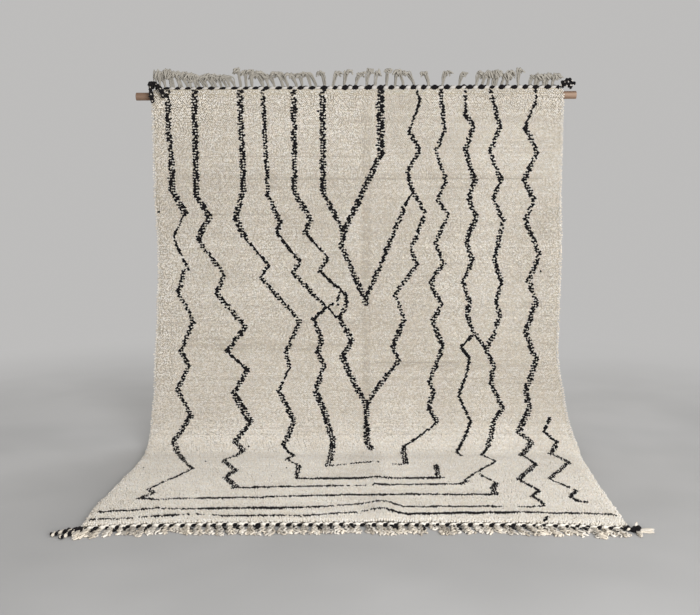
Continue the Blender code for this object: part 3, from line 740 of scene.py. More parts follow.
@dataclass
class Drape:
    """How the rug hangs over the pole, falls, and turns onto the floor."""

    origin: Array
    length: float = 2.93
    pole_height: float = 1.667
    bend_length: float = 0.92
    bend_power: float = 1.3
    flap: float = 0.022
    lean: float = math.radians(25)
    back_radius: float = 0.021
    front_bow: float = 0.05
    bow_start: float = 1.95
    crease_fade: float = 0.15
    # down, the centre line's shift, width
    edges: tuple[Point, ...] = (
        (0.00, 0.006, 1.986),
        (0.45, 0.005, 1.984),
        (0.80, 0.015, 1.982),
        (1.10, 0.006, 1.990),
        (1.31, -0.003, 1.996),
        (1.55, 0.010, 2.002),
        (1.86, 0.026, 2.000),
        (2.10, 0.020, 1.986),
        (2.45, 0.004, 1.992),
        (2.70, -0.006, 2.004),
        (2.93, -0.007, 1.996),
    )
    # A crease's hollow also darkens the pile's colour, as painted shade
    # runs down, where, begins, ends, half width, height
    creases: tuple[tuple[bool, float, float, float, float, float], ...] = (
        (True, 0.040, 0.00, 1.90, 0.014, -0.0060),
        (True, 0.064, 0.10, 1.60, 0.010, -0.0050),
        (True, 0.090, 1.75, 2.55, 0.050, 0.0060),
        (True, 0.100, 2.60, 3.10, 0.055, 0.0120),
        (False, 0.14, -0.20, 1.00, 0.018, -0.0025),
        (False, 0.32, -0.90, 0.10, 0.004, -0.0070),
        (False, 0.42, -1.00, 1.00, 0.020, -0.0030),
        (False, 0.43, -0.60, 1.00, 0.004, -0.0090),
        (False, 0.60, -0.90, -0.30, 0.004, -0.0070),
        (False, 0.66, 0.30, 0.95, 0.004, -0.0060),
        (False, 1.22, -0.95, -0.40, 0.004, -0.0090),
        (False, 1.25, -0.95, 0.05, 0.015, -0.0045),
        (False, 1.27, -0.80, -0.10, 0.004, -0.0090),
        (False, 1.34, 0.05, 0.60, 0.004, -0.0110),
        (False, 1.36, 0.00, 1.00, 0.018, -0.0035),
        (False, 1.45, 0.55, 0.95, 0.004, -0.0080),
        (False, 2.05, -1.00, 1.00, 0.070, 0.0040),
    )

    def __post_init__(self) -> None:
        """Works out the course: forward is the sum of sin(tilt) and the fall the sum of cos(tilt)."""
        share = np.cos(math.pi / 2 * np.linspace(0, 1, 2001) ** self.bend_power)
        self.touch = self.flap + self.back_radius * self.lean
        self.hang = self.pole_height - self.bend_length * float(np.mean((share[1:] + share[:-1]) / 2))
        self.lying = self.touch + self.hang + self.bend_length
        self.fine = np.linspace(0, self.length, 6001)
        tilt, step = self.tilt(self.fine), self.fine[1]
        forward, fall = summed(np.sin(tilt), step), summed(np.cos(tilt), step)
        self.forward = forward + self.back_radius - np.interp(self.touch, self.fine, forward)
        self.height = self.pole_height + np.interp(self.touch, self.fine, fall) - fall
        self.height[self.fine >= self.lying] = 0.0

    def tilt(self, down: Array) -> Array:
        """0 hanging and a right angle lying: the lean dies away over the pole, and the turn grows as a power
        of the share of the bend passed.

        Args:
            down: Distances down the rug.

        Returns:
            Angles in radians.
        """
        wrap = self.lean * (1 - np.clip((down - self.flap) / (self.touch - self.flap), 0, 1))
        turn = np.clip((down - self.touch - self.hang) / self.bend_length, 0, 1) ** self.bend_power
        return wrap + turn * math.pi / 2

    def bow(self, down: Array, x: Array) -> Array:
        """How far the cloth lies back from a straight front edge: most on the centre line, as 1 - |share|^4.

        Args:
            down: Distances down the rug.
            x: Places across it.

        Returns:
            Distances in metres.
        """
        bowed = grown(down, self.bow_start, self.length - self.bow_start)
        across = (x - self.edges[-1][1]) / (self.edges[-1][2] / 2)
        return self.front_bow * bowed * (1 - np.clip(np.abs(across), 0, 1) ** 4)

    def edge(self, down: Array, side: int) -> Array:
        """Where the left (-1) or right (1) edge is."""
        return eased(down, self.edges, 1) + side * eased(down, self.edges, 2) / 2

    def crease(self, down: Array, x: Array) -> Array:
        """What storage creases add: height exp(-(off / half width)^2), faded in and out at their ends.

        Args:
            down: Distances down the rug.
            x: Places across it.

        Returns:
            Heights in metres.
        """
        total = np.zeros(np.broadcast(down, x).shape)
        for runs_down, where, begins, ends, half, height in self.creases:
            along, off = (down, x - where) if runs_down else (x, down - where)
            fade = grown(along, begins, self.crease_fade) * grown(ends - along, 0.0, self.crease_fade)
            total = total + height * fade * np.exp(-((off / half) ** 2))
        return total

    def place(self, down: Array, x: Array, proud: Array | float) -> Array:
        """Points of the rug in the frame.

        Args:
            down: Distances down the rug.
            x: Places across it.
            proud: How far they stand from the rug's back.

        Returns:
            (..., 3).
        """
        tilt = self.tilt(down)
        forward = np.interp(down, self.fine, self.forward) - self.bow(down, x) + proud * np.cos(tilt)
        height = np.interp(down, self.fine, self.height) + proud * np.sin(tilt)
        return np.stack(np.broadcast_arrays(x, -forward, height), -1) + self.origin

    def along(self, down: Array) -> Array:
        """The direction down the rug: (0, -sin tilt, -cos tilt)."""
        tilt = self.tilt(down)
        return np.stack([np.zeros(tilt.shape), -np.sin(tilt), -np.cos(tilt)], -1)


# The black lines, charted as straight runs between turning points: width in millimetres, how much
# of the line is there, then the place across and down of each turning point in whole centimetres
LINES: tuple[tuple[float, ...], ...] = (
    (23, 1, -91, 0, -91, 19, -90, 34),
    (28, 1, -90, 34, -90, 48, -84, 59),
    (12, 1, -84, 59, -90, 71, -83, 87),
    (20, 1, -85, 88, -88, 98, -81, 113, -87, 128, -83, 136, -88, 148, -80, 163),
    (24, 1, -80, 163, -86, 181, -78, 205),
    (17, 1, -78, 205, -71, 220),
    (10, 1, -71, 220, -84, 250),
    (20, 1, -84, 250, -81, 255, -85, 263, -80, 264),
    (26, 1, -78, 0, -78, 51, -72, 61, -78, 72),
    (17, 1, -78, 72, -65, 90),
    (22, 1, -65, 90, -69, 99, -55, 116, -64, 128),
    (15, 1, -64, 128, -54, 138),
    (22, 1, -54, 138, -60, 150),
    (29, 1, -60, 150, -51, 167),
    (24, 1, -51, 167, -57, 181),
    (24, 1, -57, 181, -52, 190, -55, 200),
    (10, 1, -55, 200, -59, 207),
    (24, 1, -59, 207, -52, 223, -55, 234, -48, 250),
    (25, 1, -56, 1, -55, 48, -59, 61, -55, 71),
    (14, 1, -55, 71, -43, 85, -47, 91),
    (17, 1, -47, 91, -28, 113),
    (20, 1, -28, 113, -35, 129, -33, 137),
    (11, 1, -33, 137, -38, 149),
    (22, 1, -38, 149, -30, 166, -34, 185),
    (15, 1, -34, 185, -28, 199, -31, 206),
    (10, 1, -31, 206, -25, 215),
    (19, 1, -25, 215, -25, 236),
    (19, 1, -45, 1, -43, 51),
    (21, 1, -43, 51, -37, 64, -39, 69),
    (13, 1, -39, 69, -28, 83),
    (20, 1, -28, 83, -31, 89),
    (17, 1, -31, 89, -15, 106),
    (15, 1, -15, 106, -21, 112),
    (22, 1, -21, 112, -17, 123, -19, 129, -16, 136, -20, 149),
    (26, 1, -20, 149, -15, 162, -11, 181, -12, 215),
    (24, 1, -30, 1, -30, 49, -22, 63, -25, 69),
    (9, 0.9, -24, 70, -15, 80),
    (19, 1, -14, 81, -18, 88),
    (15, 1, -18, 88, -5, 100, -5, 104),
    (8, 0.6, -8, 98, -9, 102, -14, 106),
    (10, 1, -14, 106, -11, 110, -8, 112),
    (25, 1, -5, 104, -8, 112, -2, 123, -7, 131, -3, 141, 5, 157),
    (26, 1, -16, 0, -16, 49),
    (22, 1, -16, 49, -6, 69),
    (34, 1, 12, 0, 12, 31),
    (25, 1, 12, 31, -6, 69, -7, 76),
    (22, 1, -7, 76, 5, 104),
    (13, 1, 30, 2, 31, 6, 26, 20),
    (20, 1, 26, 20, 31, 29, 25, 40, 28, 49),
    (11, 0.9, 28, 49, 24, 56),
    (20, 1, 24, 56, 14, 80, 5, 102),
    (17, 1, 28, 49, 34, 60, 27, 77, 30, 85, 19, 100, 24, 112),
    (21, 1, 24, 112, 18, 126, 21, 133, 9, 149, 5, 157),
    (24, 1, 5, 157, 5, 181, 7, 190),
    (17, 1, 41, 0, 43, 20, 39, 29, 44, 44, 40, 53, 45, 61, 39, 74, 43, 84),
    (21, 1, 43, 84, 37, 94, 42, 105, 38, 113, 43, 126, 36, 144, 38, 149, 35, 158, 39, 167),
    (13, 1, 39, 167, 22, 186),
    (23, 1, 22, 186, 22, 212),
    (22, 1, 35, 215, 35, 234),
    (9, 0.8, 53, 1, 53, 11),
    (22, 1, 53, 11, 57, 18, 53, 29, 58, 44, 55, 53, 59, 62, 54, 73, 57, 82),
    (21, 1, 57, 82, 53, 94, 56, 103, 55, 110, 58, 118, 64, 127),
    (15, 1, 58, 120, 52, 126, 56, 132, 55, 138, 50, 152, 55, 167, 46, 193, 48, 199),
    (19, 1, 65, 1, 70, 18, 65, 30, 71, 44, 67, 52, 72, 63, 68, 84, 72, 93, 69, 103, 71, 110),
    (21, 1, 71, 110, 68, 121, 64, 127, 68, 136, 66, 144, 71, 159, 66, 167, 61, 187),
    (16, 1, 61, 187, 57, 198),
    (13, 1, 57, 198, 62, 209, 56, 218),
    (10, 0.9, 56, 218, 45, 239),
    (22, 1, 46, 240, 43, 244),
    (10, 0.9, 53, 229, 58, 243),
    (24, 1, 58, 243, 56, 250, 56, 259),
    (13, 1, 87, 1, 87, 6, 82, 18),
    (21, 1, 82, 18, 88, 30, 82, 44, 87, 53, 83, 63, 90, 80, 85, 93, 89, 103),
    (25, 1, 89, 103, 84, 119, 89, 133, 83, 149, 84, 159, 77, 174, 82, 182, 75, 198),
    (15, 1, 75, 198, 79, 213),
    (24, 1, 79, 213, 68, 237),
    (16, 1, 68, 237, 74, 253, 70, 261, 73, 271),
    (15, 1, 93, 165, 89, 174, 94, 182),
    (20, 1, 94, 182, 89, 195, 94, 210, 81, 236),
    (9, 0.9, 81, 236, 89, 252),
    (16, 1, 89, 252, 85, 261),
    (10, 0.9, 85, 261, 87, 266),
    (18, 1, 87, 266, 90, 267),
    (10, 0.45, -11, 215, 2, 211, 7, 211),
    (9, 0.2, 7, 211, 22, 214),
    (24, 1, -23, 236, 36, 235),
    (21, 0.95, -50, 250, -8, 247),
    (9, 0.3, -8, 247, 8, 246),
    (20, 0.95, 8, 246, 44, 244),
    (15, 0.92, -80, 265, -62, 264),
    (20, 0.97, -62, 264, -48, 264, -2, 260, 56, 259),
    (16, 0.95, -97, 278, -83, 278),
    (11, 0.85, -83, 278, -76, 276),
    (9, 0.35, -76, 276, -66, 278),
    (22, 0.97, -66, 278, -21, 277),
    (14, 0.9, -21, 277, 11, 271, 19, 276, 54, 275),
    (9, 0.4, 54, 275, 66, 275),
    (17, 0.95, 66, 275, 73, 273),
    (17, 0.95, -98, 287, -90, 287),
    (12, 0.9, -90, 287, -83, 287),
    (9, 0.4, -83, 287, -75, 286),
    (22, 1, -75, 286, -67, 285),
    (9, 0.35, -67, 285, -60, 284, -53, 286),
    (14, 0.9, -53, 286, -21, 287, -6, 284),
    (10, 1, 72, 286, 70, 291),
    (12, 0.7, -6, 284, 11, 281),
    (24, 1, 11, 281, 20, 285, 60, 282),
    (19, 0.97, 60, 282, 97, 281),
)


@dataclass
class LineDrawing:
    """Which knots are tied in black."""

    ragged: float = 0.0022
    missing: float = 0.03
    spread: float = 0.0013
    least: float = 0.0046
    comb_width: float = 16.0
    comb_steepness: float = 0.7
    overlap: float = 0.15
    bars: float = 1.13
    break_size: float = 0.03
    stray: float = 0.00015
    seed: int = SEED + 1

    def black(self, down: Array, x: Array, row: Array) -> Array:
        """A knot is black where its distance from a line's run is less than half the line's width, less a
        knot's own spread, with each row's ends a little ragged. A wide steep line is combed with cream: its
        even rows are wide bars, and on odd rows only one side is black, so that the bars hang together like
        a ladder's. A broken line is black where a noise is high, and a few stray knots are black.

        Args:
            down: Each knot's distance down the rug.
            x: Each knot's place across it.
            row: Each knot's row number.

        Returns:
            A mask of black knots.
        """
        rng = np.random.default_rng(self.seed)
        rows = int(row.max()) + 1
        turn = rng.choice([-1.0, 1.0], rows)[row]
        black = np.zeros(down.shape, bool)
        for number, (width, there, *places) in enumerate(LINES):
            spot = np.array(places, float).reshape(-1, 2) / 100
            ragged = rng.uniform(-1, 1, (2, rows)) * self.ragged
            thin = max(width / 2000 - self.spread, self.least)
            line = np.zeros(down.shape, bool)
            for (x0, d0), (x1, d1) in zip(spot[:-1], spot[1:]):
                run_x, run_d = x1 - x0, d1 - d0
                combed = width > self.comb_width and abs(run_d) > self.comb_steepness * abs(run_x)
                reach = thin * self.bars if combed else thin
                share = np.clip(((x - x0) * run_x + (down - d0) * run_d) / (run_x**2 + run_d**2), 0, 1)
                off_x, off_d = x - x0 - share * run_x, down - d0 - share * run_d
                inside = np.hypot(off_x, off_d) < reach + ragged[(off_x > 0).astype(int), row]
                if combed:
                    inside &= (row % 2 == 0) | (off_x * turn > self.overlap * reach)
                line |= inside
            if there < 1:
                noise = soft_noise(x + down, x - down, self.break_size, self.seed + number)
                line &= noise > 1 - 2 * there**0.6
            black |= line
        chance = rng.uniform(0, 1, down.shape)
        return (black & (chance > self.missing)) | (chance > 1 - self.stray)


# The rug


@dataclass
class Knots:
    """Every knot of the pile, as whole arrays. Its share of the way across runs from -1 to 1."""

    down: Array
    x: Array
    row: Array
    black: Array
    share: Array


@dataclass
class Rug:
    """The rug itself: a woven foundation, the knotted pile, and the black knots as they show on the back.
    A pair says where something starts, in metres down or across, and over what distance it grows."""

    drape: Drape
    pile_thickness: float = 0.022
    foundation: float = 0.006
    rim_inset: float = 0.004
    face_inset: float = 0.0075
    edge_thickness: float = 0.80
    end_thickness: float = 0.42
    end_taper: float = 0.030
    side_taper: float = 0.030
    left_inset: float = 0.001
    right_inset: float = -0.003
    first_row: float = 0.004
    knotted_width: float = 1.97
    off_row: float = 0.0011
    off_column: float = 0.0016
    strips: int = 5
    floor_inset: float = 0.006
    inset_from: tuple[float, float] = (1.75, 0.3)
    pile_lean: float = 0.0055
    edge_lean: float = 0.0060
    edge_reach: float = 0.022
    front_room: float = 0.04
    top_room: float = 0.02
    uneven_height: float = 0.0011
    most_uneven: float = 0.0025
    uneven_lean: float = 0.0030
    uneven_shade: float = 0.15
    uneven_rows: float = 0.06
    mean_shade: float = 0.54
    # How much paler the lying part is painted, as painted light where it faces the light
    floor_painted_light: float = 0.10
    floor_light_from: tuple[float, float] = (1.55, 0.5)
    combed: float = 0.5
    combed_right: tuple[float, float] = (-0.3, 0.9)
    combed_top: tuple[float, float] = (0.15, 0.7)
    combed_low: tuple[float, float] = (1.1, 0.4)
    tuft_width: float = 0.0060
    tuft_depth: float = 0.0046
    tuft_waist: float = 0.62
    root_depth: float = 0.003
    black_bulk: float = 1.38
    black_height: float = 0.0015
    # How much darker a crease's hollow is painted, as painted shade
    crease_painted_shade: float = 50.0
    ridge_gap: float = 2.2 * KNOT_PITCH
    ridge_reach: float = 0.004
    ridge_radii: Point = (0.0022, 0.0034, 0.0022)
    # how high the pile rolls, over what distance, seed
    rolls: tuple[tuple[float, float, int], ...] = ((0.0012, 0.045, 7), (0.0010, 0.018, 8))
    # how much the shade drifts, over what distance, how much faster down the rug, seed
    drifts: tuple[tuple[float, float, int, int], ...] = ((0.10, 0.22, 1, 21), (0.12, 0.05, 6, 22))
    seed: int = SEED

    def knots(self) -> Knots:
        """Knots in rows down the rug, each row stepped over by half a knot, all a little out of place.

        Returns:
            The knots.
        """
        rng = np.random.default_rng(self.seed)
        rows = int((self.drape.length - 2 * self.first_row) / ROW_PITCH)
        columns = int(self.knotted_width / KNOT_PITCH)
        row, column = np.divmod(np.arange(rows * columns), columns)
        level = self.first_row + (row + 0.5) * ROW_PITCH
        down = level + rng.uniform(-1, 1, row.shape) * self.off_row
        share = 2 * (column + 0.25 + 0.5 * (row % 2)) / columns - 1
        on_floor = self.floor_inset * grown(down, *self.inset_from)
        left = self.drape.edge(down, -1) + self.left_inset + on_floor
        right = self.drape.edge(down, 1) - self.right_inset - on_floor
        x = left + (right - left) * (share + 1) / 2 + rng.uniform(-1, 1, row.shape) * self.off_column
        return Knots(down, x, row, LineDrawing().black(level, x, row), share)

    def unruly(self, knots: Knots) -> Array:
        """How much tufts differ: 1, and less at the top right and low down, where the pile is smoother."""
        top_right = grown(knots.x, *self.combed_right) * (1 - grown(knots.down, *self.combed_top))
        return 1 - self.combed * (top_right + 0.5 * grown(knots.down, *self.combed_low))

    def heights(self, knots: Knots, from_edge: Array, rng: np.random.Generator) -> Array:
        """Each tuft's height: the pile's thickness times the tapers at ends and edges, plus creases and
        noise.

        Args:
            knots: The knots.
            from_edge: Their distances from the nearer side edge.
            rng: Where their differences come from.

        Returns:
            Heights above the rug's back.
        """
        down, x = knots.down, knots.x
        taper = self.end_thickness + (1 - self.end_thickness) * smoothstep(down / self.end_taper)
        taper = taper * (0.8 + 0.2 * smoothstep((self.drape.length - down) / self.end_taper))
        inward = smoothstep(from_edge / self.side_taper)
        taper = taper * (self.edge_thickness + (1 - self.edge_thickness) * inward)
        tall = self.pile_thickness * taper + self.drape.crease(down, x)
        for high, cell, seed in self.rolls:
            tall = tall + high * soft_noise(x, down, cell, seed)
        uneven = rng.normal(0, self.uneven_height, down.shape).clip(-self.most_uneven, self.most_uneven)
        return tall + uneven * self.unruly(knots) + self.black_height * knots.black

    def pile(self, knots: Knots) -> list[Patch]:
        """Each tuft is a ring of four corners at three fifths of its height, an apex that leans down the rug
        and out at the edges, and a root in the foundation.

        Args:
            knots: The knots.

        Returns:
            The tufts, strip by strip down the rug.
        """
        rng = np.random.default_rng(self.seed + 2)
        drape, count, down, x = self.drape, len(knots.down), knots.down, knots.x
        from_edge = np.minimum(x - drape.edge(down, -1), drape.edge(down, 1) - x)
        tall = self.heights(knots, from_edge, rng)
        uneven = self.uneven_lean * self.unruly(knots)
        outward = np.sign(knots.share) * self.edge_lean * (1 - smoothstep(from_edge / self.edge_reach))
        room = smoothstep((drape.length - down) / self.front_room) * smoothstep(down / self.top_room)
        lean_down = (self.pile_lean + rng.uniform(-1, 1, count) * uneven) * room
        lean_x = rng.uniform(-1, 1, count) * uneven + outward
        root = drape.place(down, x, self.root_depth)
        apex = drape.place(down + lean_down, x + lean_x, tall)
        centre = root + (apex - root) * self.tuft_waist
        turn = rng.uniform(0, math.pi / 2, count)[:, None] + np.arange(4) * math.pi / 2
        size = rng.uniform(0.85, 1.2, (count, 1)) * np.where(knots.black, self.black_bulk, 1.0)[:, None]
        wide = (self.tuft_width * size * np.sin(turn))[..., None] * [1.0, 0.0, 0.0]
        deep = (self.tuft_depth * size * np.cos(turn))[..., None] * drape.along(down)[:, None]
        points = np.concatenate([centre[:, None] + wide + deep, apex[:, None], root[:, None]], 1)
        k, after = np.arange(4), (np.arange(4) + 1) % 4
        cone = np.concatenate([np.stack([k, after, k * 0 + 4], 1), np.stack([after, k, k * 0 + 5], 1)])
        around = np.array([0.12, 0.38, 0.62, 0.88, 0.5, 0.5])
        height = np.array([0.6, 0.6, 0.6, 0.6, 0.97, 0.03])
        u = chart_place(self.tuft_columns(knots, rng)[:, None, None], around[cone])
        places = np.stack([u, np.broadcast_to(height[cone], u.shape)], -1)
        patches = []
        cuts = np.linspace(0, knots.row.max() + 1, self.strips + 1).astype(int)
        for first, last in zip(cuts[:-1], cuts[1:]):
            mine = (knots.row >= first) & (knots.row < last)
            corners = np.arange(mine.sum())[:, None, None] * len(around) + cone
            faces = [(corners.reshape(-1, 3), places[mine].reshape(-1, 3, 2))]
            patches.append(Patch(points[mine].reshape(-1, 3), faces))
        return patches

    def tuft_columns(self, knots: Knots, rng: np.random.Generator) -> Array:
        """Each tuft's chart column: a random shade that also differs by the row and in soft broad patches,
        paler on the floor, which is painted light, and deeper along creases, which is painted shade.

        Args:
            knots: The knots.
            rng: Where the random shades come from.

        Returns:
            Column numbers.
        """
        down, x = knots.down, knots.x
        own = rng.normal(0, self.uneven_shade, down.shape).clip(-0.4, 0.4)
        shade = self.mean_shade + own * self.unruly(knots)
        shade = shade + rng.normal(0, self.uneven_rows, 1000)[knots.row]
        for much, cell, faster, seed in self.drifts:
            shade = shade + much * soft_noise(x, down * faster, cell, seed)
        # Painted light: the part that lies on the floor is painted paler
        shade = shade + self.floor_painted_light * grown(down, *self.floor_light_from)
        # Painted shade: tufts in a crease's hollow are painted darker, some more than others
        hollow = np.minimum(self.drape.crease(down, x), 0)
        shade = shade + self.crease_painted_shade * hollow * rng.uniform(0.3, 1.7, down.shape)
        black = yarn_column(Yarn.BLACK, rng.uniform(0, 1, down.shape))
        return np.where(knots.black, black, yarn_column(Yarn.CREAM, shade.clip(0.02, 0.99)))

    def foundation_cloth(self, rows: int = 110, columns: int = 30) -> Patch:
        """A closed band: from the left edge along the back at height 0, round the right edge at half height,
        and back along the front at the cloth's thickness, carried down the rug, with both ends closed.

        Args:
            rows: Stations down the rug.
            columns: Faces from edge to edge.

        Returns:
            The cloth, with its map in metres.
        """
        drape = self.drape
        over_pole = np.linspace(0, drape.touch, 6)
        down = np.concatenate([over_pole, np.linspace(drape.touch, drape.length, rows - 5)[1:]])[:, None]
        share = np.linspace(-1, 1, columns + 1)
        across = np.concatenate([share, [1.0], share[::-1], [-1.0]])
        flat = np.zeros(columns + 1)
        proud = np.concatenate([flat, [0.5], flat + 1, [0.5]]) * self.foundation
        inset = np.where((proud > 0) & (proud < self.foundation), self.rim_inset, self.face_inset)
        left, right = drape.edge(down, -1) + inset, drape.edge(down, 1) - inset
        x = left + (right - left) * (across + 1) / 2
        down = np.broadcast_to(down, x.shape)
        number = np.arange(x.size).reshape(x.shape)
        turned = np.roll(number, -1, axis=1)
        walls = np.stack([number[:-1], turned[:-1], turned[1:], number[1:]], -1).reshape(-1, 4)
        k = np.arange(columns)
        facing = x.shape[1] - 2 - k
        top = np.stack([k, facing, facing - 1, k + 1], -1)
        foot = np.stack([k, k + 1, facing - 1, facing], -1) + number[-1, 0]
        rims = np.array([[columns, columns + 2, columns + 1], [0, 2 * columns + 3, 2 * columns + 2]])
        rims = np.concatenate([rims, rims[:, ::-1] + number[-1, 0]])
        quads = np.concatenate([walls, top, foot])
        chart = np.stack([x, down], -1).reshape(-1, 2)
        points = drape.place(down, x, proud).reshape(-1, 3)
        return Patch(points, [(quads, chart[quads]), (rims, chart[rims])])

    def reverse_knots(self, knots: Knots) -> Patch:
        """Each run of black knots in an even row shows on the back as one flat ridge.

        Args:
            knots: The knots.

        Returns:
            The ridges, where the rug hangs clear of the floor.
        """
        order = np.lexsort((knots.x, knots.row))
        order = order[knots.black[order] & (knots.row[order] % 2 == 0)]
        row, x, down = knots.row[order], knots.x[order], knots.down[order]
        apart = (np.diff(row) != 0) | (np.diff(x) > self.ridge_gap)
        first = np.flatnonzero(np.concatenate([[True], apart]))
        last = np.concatenate([first[1:], [len(x)]]) - 1
        clear = (down[first] > self.drape.touch + 0.04) & (down[first] < self.drape.lying - 0.12)
        first, last = first[clear], last[clear]
        start, end, level = x[first] - self.ridge_reach, x[last] + self.ridge_reach, down[first]
        along = start[:, None] + (end - start)[:, None] * np.array([0.0, 0.5, 1.0])
        paths = self.drape.place(np.repeat(level[:, None], 3, 1), along, 0.0)
        radii = np.broadcast_to(self.ridge_radii, along.shape)
        columns = yarn_column(Yarn.BLACK, np.linspace(0, 1, len(level)) % 0.25 * 4)
        return sweep(paths, radii, columns, (0.0, 1.0, 0.0), sides=4, flat=0.45, blunt=0.5)

    def build(self, shop: Workshop) -> None:
        """Builds and dresses the rug.

        Args:
            shop: The shared node groups.
        """
        knots = self.knots()
        # The pile's roots are painted dark: painted shade deep between the tufts
        finish = WoolFinish("pile_wool", root_painted_shade=0.45, fibre=0.24, slant=0.0, relief=0.0020)
        wool, weave = finish.material(shop), WeaveFinish().material(shop)
        cloth = make_piece("rug_cloth", self.foundation_cloth(), weave, ["rug"], CLOTH_MAP)
        pieces = [
            make_piece(f"pile_strip_{number}", patch, wool, ["rug"])
            for number, patch in enumerate(self.pile(knots), 1)
        ]
        pieces.append(make_piece("reverse_knots", self.reverse_knots(knots), wool, ["rug"]))
        LOG.info("%d knots, %d of them black", len(knots.down), int(knots.black.sum()))


# The end cords


@dataclass
class EndCord:
    """What both end cords share: a twined rope along the rug's end, and the warp ends as fringe."""

    drape: Drape
    end: str
    slot: Slot
    shift: float
    pitch: float
    plies: Plies
    swell: tuple[float, ...]
    cord_wool: WoolFinish
    fringe_wool: WoolFinish
    half_length: float = 0.978
    gap: float = 0.0010
    radius: float = 0.0072

    def axis(self) -> Array:
        """Points along the cord."""
        raise NotImplementedError

    def fringe(self) -> Patch:
        """The warp ends."""
        raise NotImplementedError

    def build(self, shop: Workshop) -> None:
        """Builds and dresses the cord and its fringe.

        Args:
            shop: The shared node groups.
        """
        rope = twined(self.axis(), self.radius, self.pitch, UP, self.plies, swell=self.swell)
        rope = rested(rope, self.drape.origin[2])
        node = "end_cord_" + self.end
        make_piece(self.end + "_cord", rope, self.cord_wool.material(shop), [node])
        make_piece(self.end + "_fringe", self.fringe(), self.fringe_wool.material(shop), [node])


